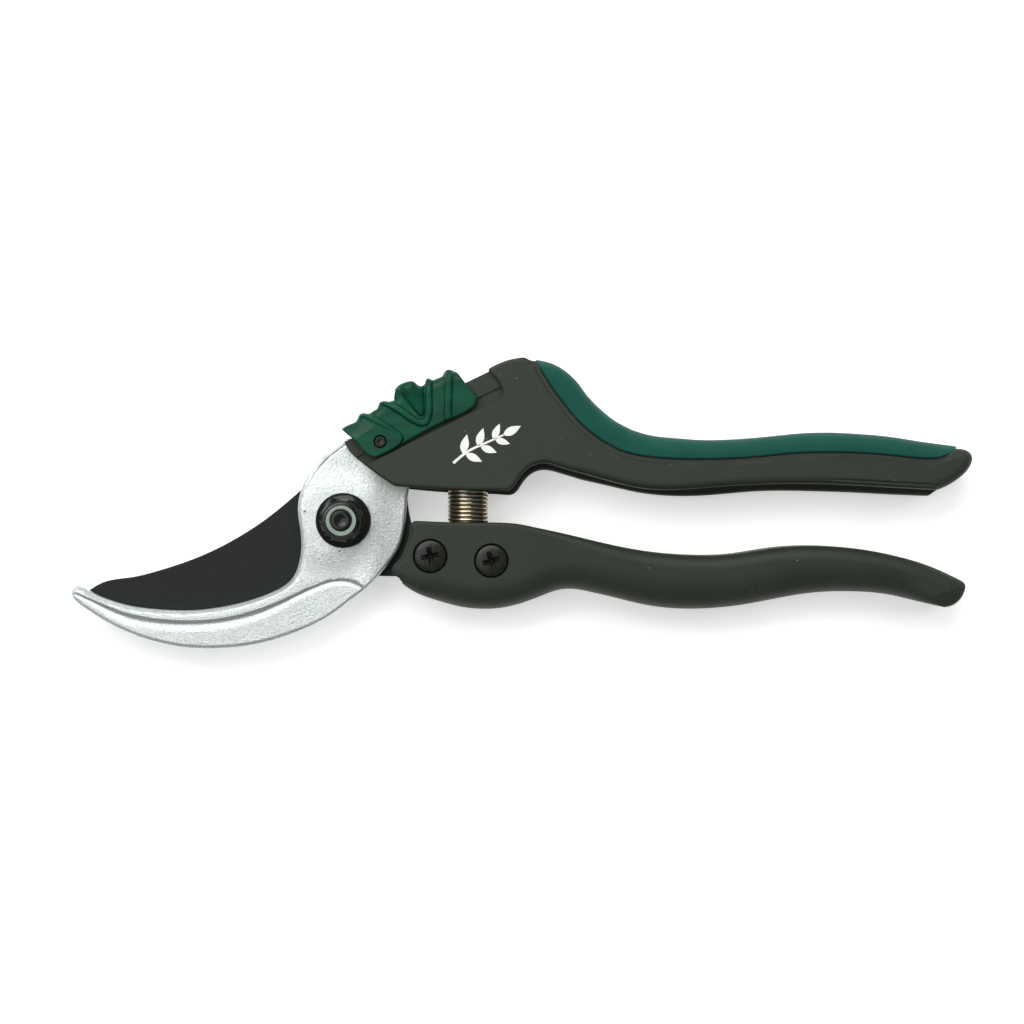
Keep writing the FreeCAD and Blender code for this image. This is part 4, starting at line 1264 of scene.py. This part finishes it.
class PRUNER_OT_mark(bpy.types.Operator):
    """Prints a plain sprig of leaves on the upper handle"""
    bl_idname = "pruner.mark"
    bl_label = "Printed mark"

    def execute(self, context):
        root, turn = np.array([26.0, 14.4]), math.radians(25)
        leaves = [((3.0, 0.25), 52, 4.6), ((3.6, -0.2), -50, 4.2), ((7.0, 0.35), 48, 4.4),
                  ((7.6, -0.1), -46, 4.0), ((11.0, 0.3), 42, 3.9), ((11.4, 0.0), -42, 3.6),
                  ((13.6, 0.15), 2, 4.6)]
        skins = [self.leaf(root, turn, *leaf) for leaf in leaves]
        stem = smooth([(0, -0.9), (4, 0.1), (9, 0.2), (13.8, 0.15)], np.linspace(0, 1, 40))
        width = np.linspace(0.32, 0.2, 40)
        skins.append(self.band(root, turn, stem, width))
        piece("printed_mark", joined(*skins), finish("ink"), "upper")
        return {"FINISHED"}

    def placed(self, root, turn, points):
        """Points turned and moved on to the handle's face."""
        cos, sin = math.cos(turn), math.sin(turn)
        return root + points @ np.array([[cos, sin], [-sin, cos]])

    def band(self, root, turn, line, half):
        """A thin film along a line, half a width to each side."""
        way = np.gradient(line, axis=0)
        way /= np.hypot(*way.T)[:, None]
        out = np.c_[-way[:, 1], way[:, 0]] * half[:, None]
        xy = self.placed(root, turn, np.stack([line - out, line, line + out], 1))
        film = np.full(xy.shape[:2], HANDLE_HIGH + 0.03)
        return slab(xy, film, film - 0.06)

    def leaf(self, root, turn, foot, lean, size):
        """A pointed leaf: its half-width follows sin(pi t^0.8) along its length."""
        t = np.linspace(0, 1, 26)
        a = math.radians(lean)
        line = np.array(foot) + size * t[:, None] * np.array([math.cos(a), math.sin(a)])
        return self.band(root, turn, line, 0.02 + 0.21 * size * np.sin(np.pi * t ** 0.8))


# ---- the studio ---------------------------------------------------------------------------

class PRUNER_OT_stage(bpy.types.Operator):
    """Builds the floor, the soft lights and the camera straight above"""
    bl_idname = "pruner.stage"
    bl_label = "Studio"

    camera_over = (0.0403, 0.0020)

    def execute(self, context):
        studio = context.scene.pruner_studio
        middle = (np.array(cad_low) + np.array(cad_high)) / 2
        self.floor(middle)
        light = studio.light
        self.lamp("key", middle + (-0.2, 0.6, 0.75), middle, (1.0, 0.6), 7.5 * light)
        self.lamp("jaws' side", middle + (-0.52, 0.1, 1.1), middle, (0.9, 0.9), 4.2 * light)
        far = self.lamp("far side", middle + (0.6, 0.35, 0.9), middle, (0.5, 0.7), 2.4 * light)
        # It only lifts the shadows: the metal shows no second window
        far.visible_glossy = False
        world = bpy.data.worlds.new("soft studio")
        world.use_nodes = True
        world.node_tree.nodes["Background"].inputs["Color"].default_value = linear("#f3f5f6")
        world.node_tree.nodes["Background"].inputs["Strength"].default_value = 0.2
        context.scene.world = world
        context.scene.view_settings.view_transform = "Standard"
        self.camera(context, studio)
        return {"FINISHED"}

    def floor(self, middle):
        """A large table of white acrylic, lit softly from below, that the tool lies on."""
        half = 1.5
        mesh = bpy.data.meshes.new("floor")
        mesh.from_pydata([(middle[0] + x * half, middle[1] + y * half, cad_low[2])
                          for x, y in ((-1, -1), (1, -1), (1, 1), (-1, 1))], [], [(0, 1, 2, 3)])
        made, tree, place = blank("opal acrylic, lit from below")
        haze = grains(tree, place, 40.0, 2.0)
        tint = bpy.context.scene.pruner_tints.floor
        surfaced(tree, Base_Color=tint, Roughness=0.9, Emission_Color=tint,
                 Emission_Strength=spread(tree, haze, 0.3, 0.7, 0.48, 0.52))
        mesh.materials.append(made)
        linked("floor", mesh)

    def lamp(self, name, place, aim, size, power):
        """A rectangular softbox aimed at the tool, returned for further settings."""
        light = bpy.data.lights.new(name, "AREA")
        light.shape, light.size, light.size_y = "RECTANGLE", *size
        light.energy = power
        made = linked(name, light)
        made.location = place
        made.rotation_euler = Vector(np.array(aim) - place).to_track_quat("-Z", "Y").to_euler()
        return made

    def camera(self, context, studio):
        """A long lens looking straight down at the middle of the tool."""
        lens = bpy.data.cameras.new("camera")
        lens.sensor_width = 36.0
        lens.lens = lens.sensor_width * studio.camera_height / studio.view_width
        made = linked("camera", lens)
        made.location = (*self.camera_over, HOOK_HIGH * MM + studio.camera_height)
        context.scene.camera = made


# ---- the add-on ---------------------------------------------------------------------------

STEPS = (PRUNER_OT_stage, PRUNER_OT_jaws, PRUNER_OT_pivot, PRUNER_OT_upper_handle,
         PRUNER_OT_grip_pad, PRUNER_OT_lock, PRUNER_OT_lower_handle, PRUNER_OT_fasteners,
         PRUNER_OT_return_spring, PRUNER_OT_mark)
SETTINGS = {"pruner_tints": PrunerTints, "pruner_sizes": PrunerSizes,
            "pruner_studio": PrunerStudio}


class PRUNER_PT_panel(bpy.types.Panel):
    """Lists the pruner's settings and steps"""
    bl_idname = "PRUNER_PT_panel"
    bl_label = "Bypass Pruner"
    bl_space_type = "VIEW_3D"
    bl_region_type = "UI"
    bl_category = "Pruner"

    def draw(self, context):
        for name, group in SETTINGS.items():
            box = self.layout.box()
            box.label(text=group.__doc__)
            for field in group.__annotations__:
                box.prop(getattr(context.scene, name), field)
        for step in STEPS:
            self.layout.operator(step.bl_idname)


def register():
    """Adds the classes and the settings to Blender."""
    for group in SETTINGS.values():
        bpy.utils.register_class(group)
    for name, group in SETTINGS.items():
        setattr(bpy.types.Scene, name, PointerProperty(type=group))
    for step in STEPS:
        bpy.utils.register_class(step)
    bpy.utils.register_class(PRUNER_PT_panel)


def unregister():
    """Takes the classes and the settings out again."""
    bpy.utils.unregister_class(PRUNER_PT_panel)
    for step in reversed(STEPS):
        bpy.utils.unregister_class(step)
    for name, group in reversed(SETTINGS.items()):
        delattr(bpy.types.Scene, name)
        bpy.utils.unregister_class(group)


def main():
    """Registers the add-on and runs its steps in order."""
    register()
    for step in STEPS:
        group, name = step.bl_idname.split(".")
        getattr(getattr(bpy.ops, group), name)()


if __name__ == "__main__":
    main()
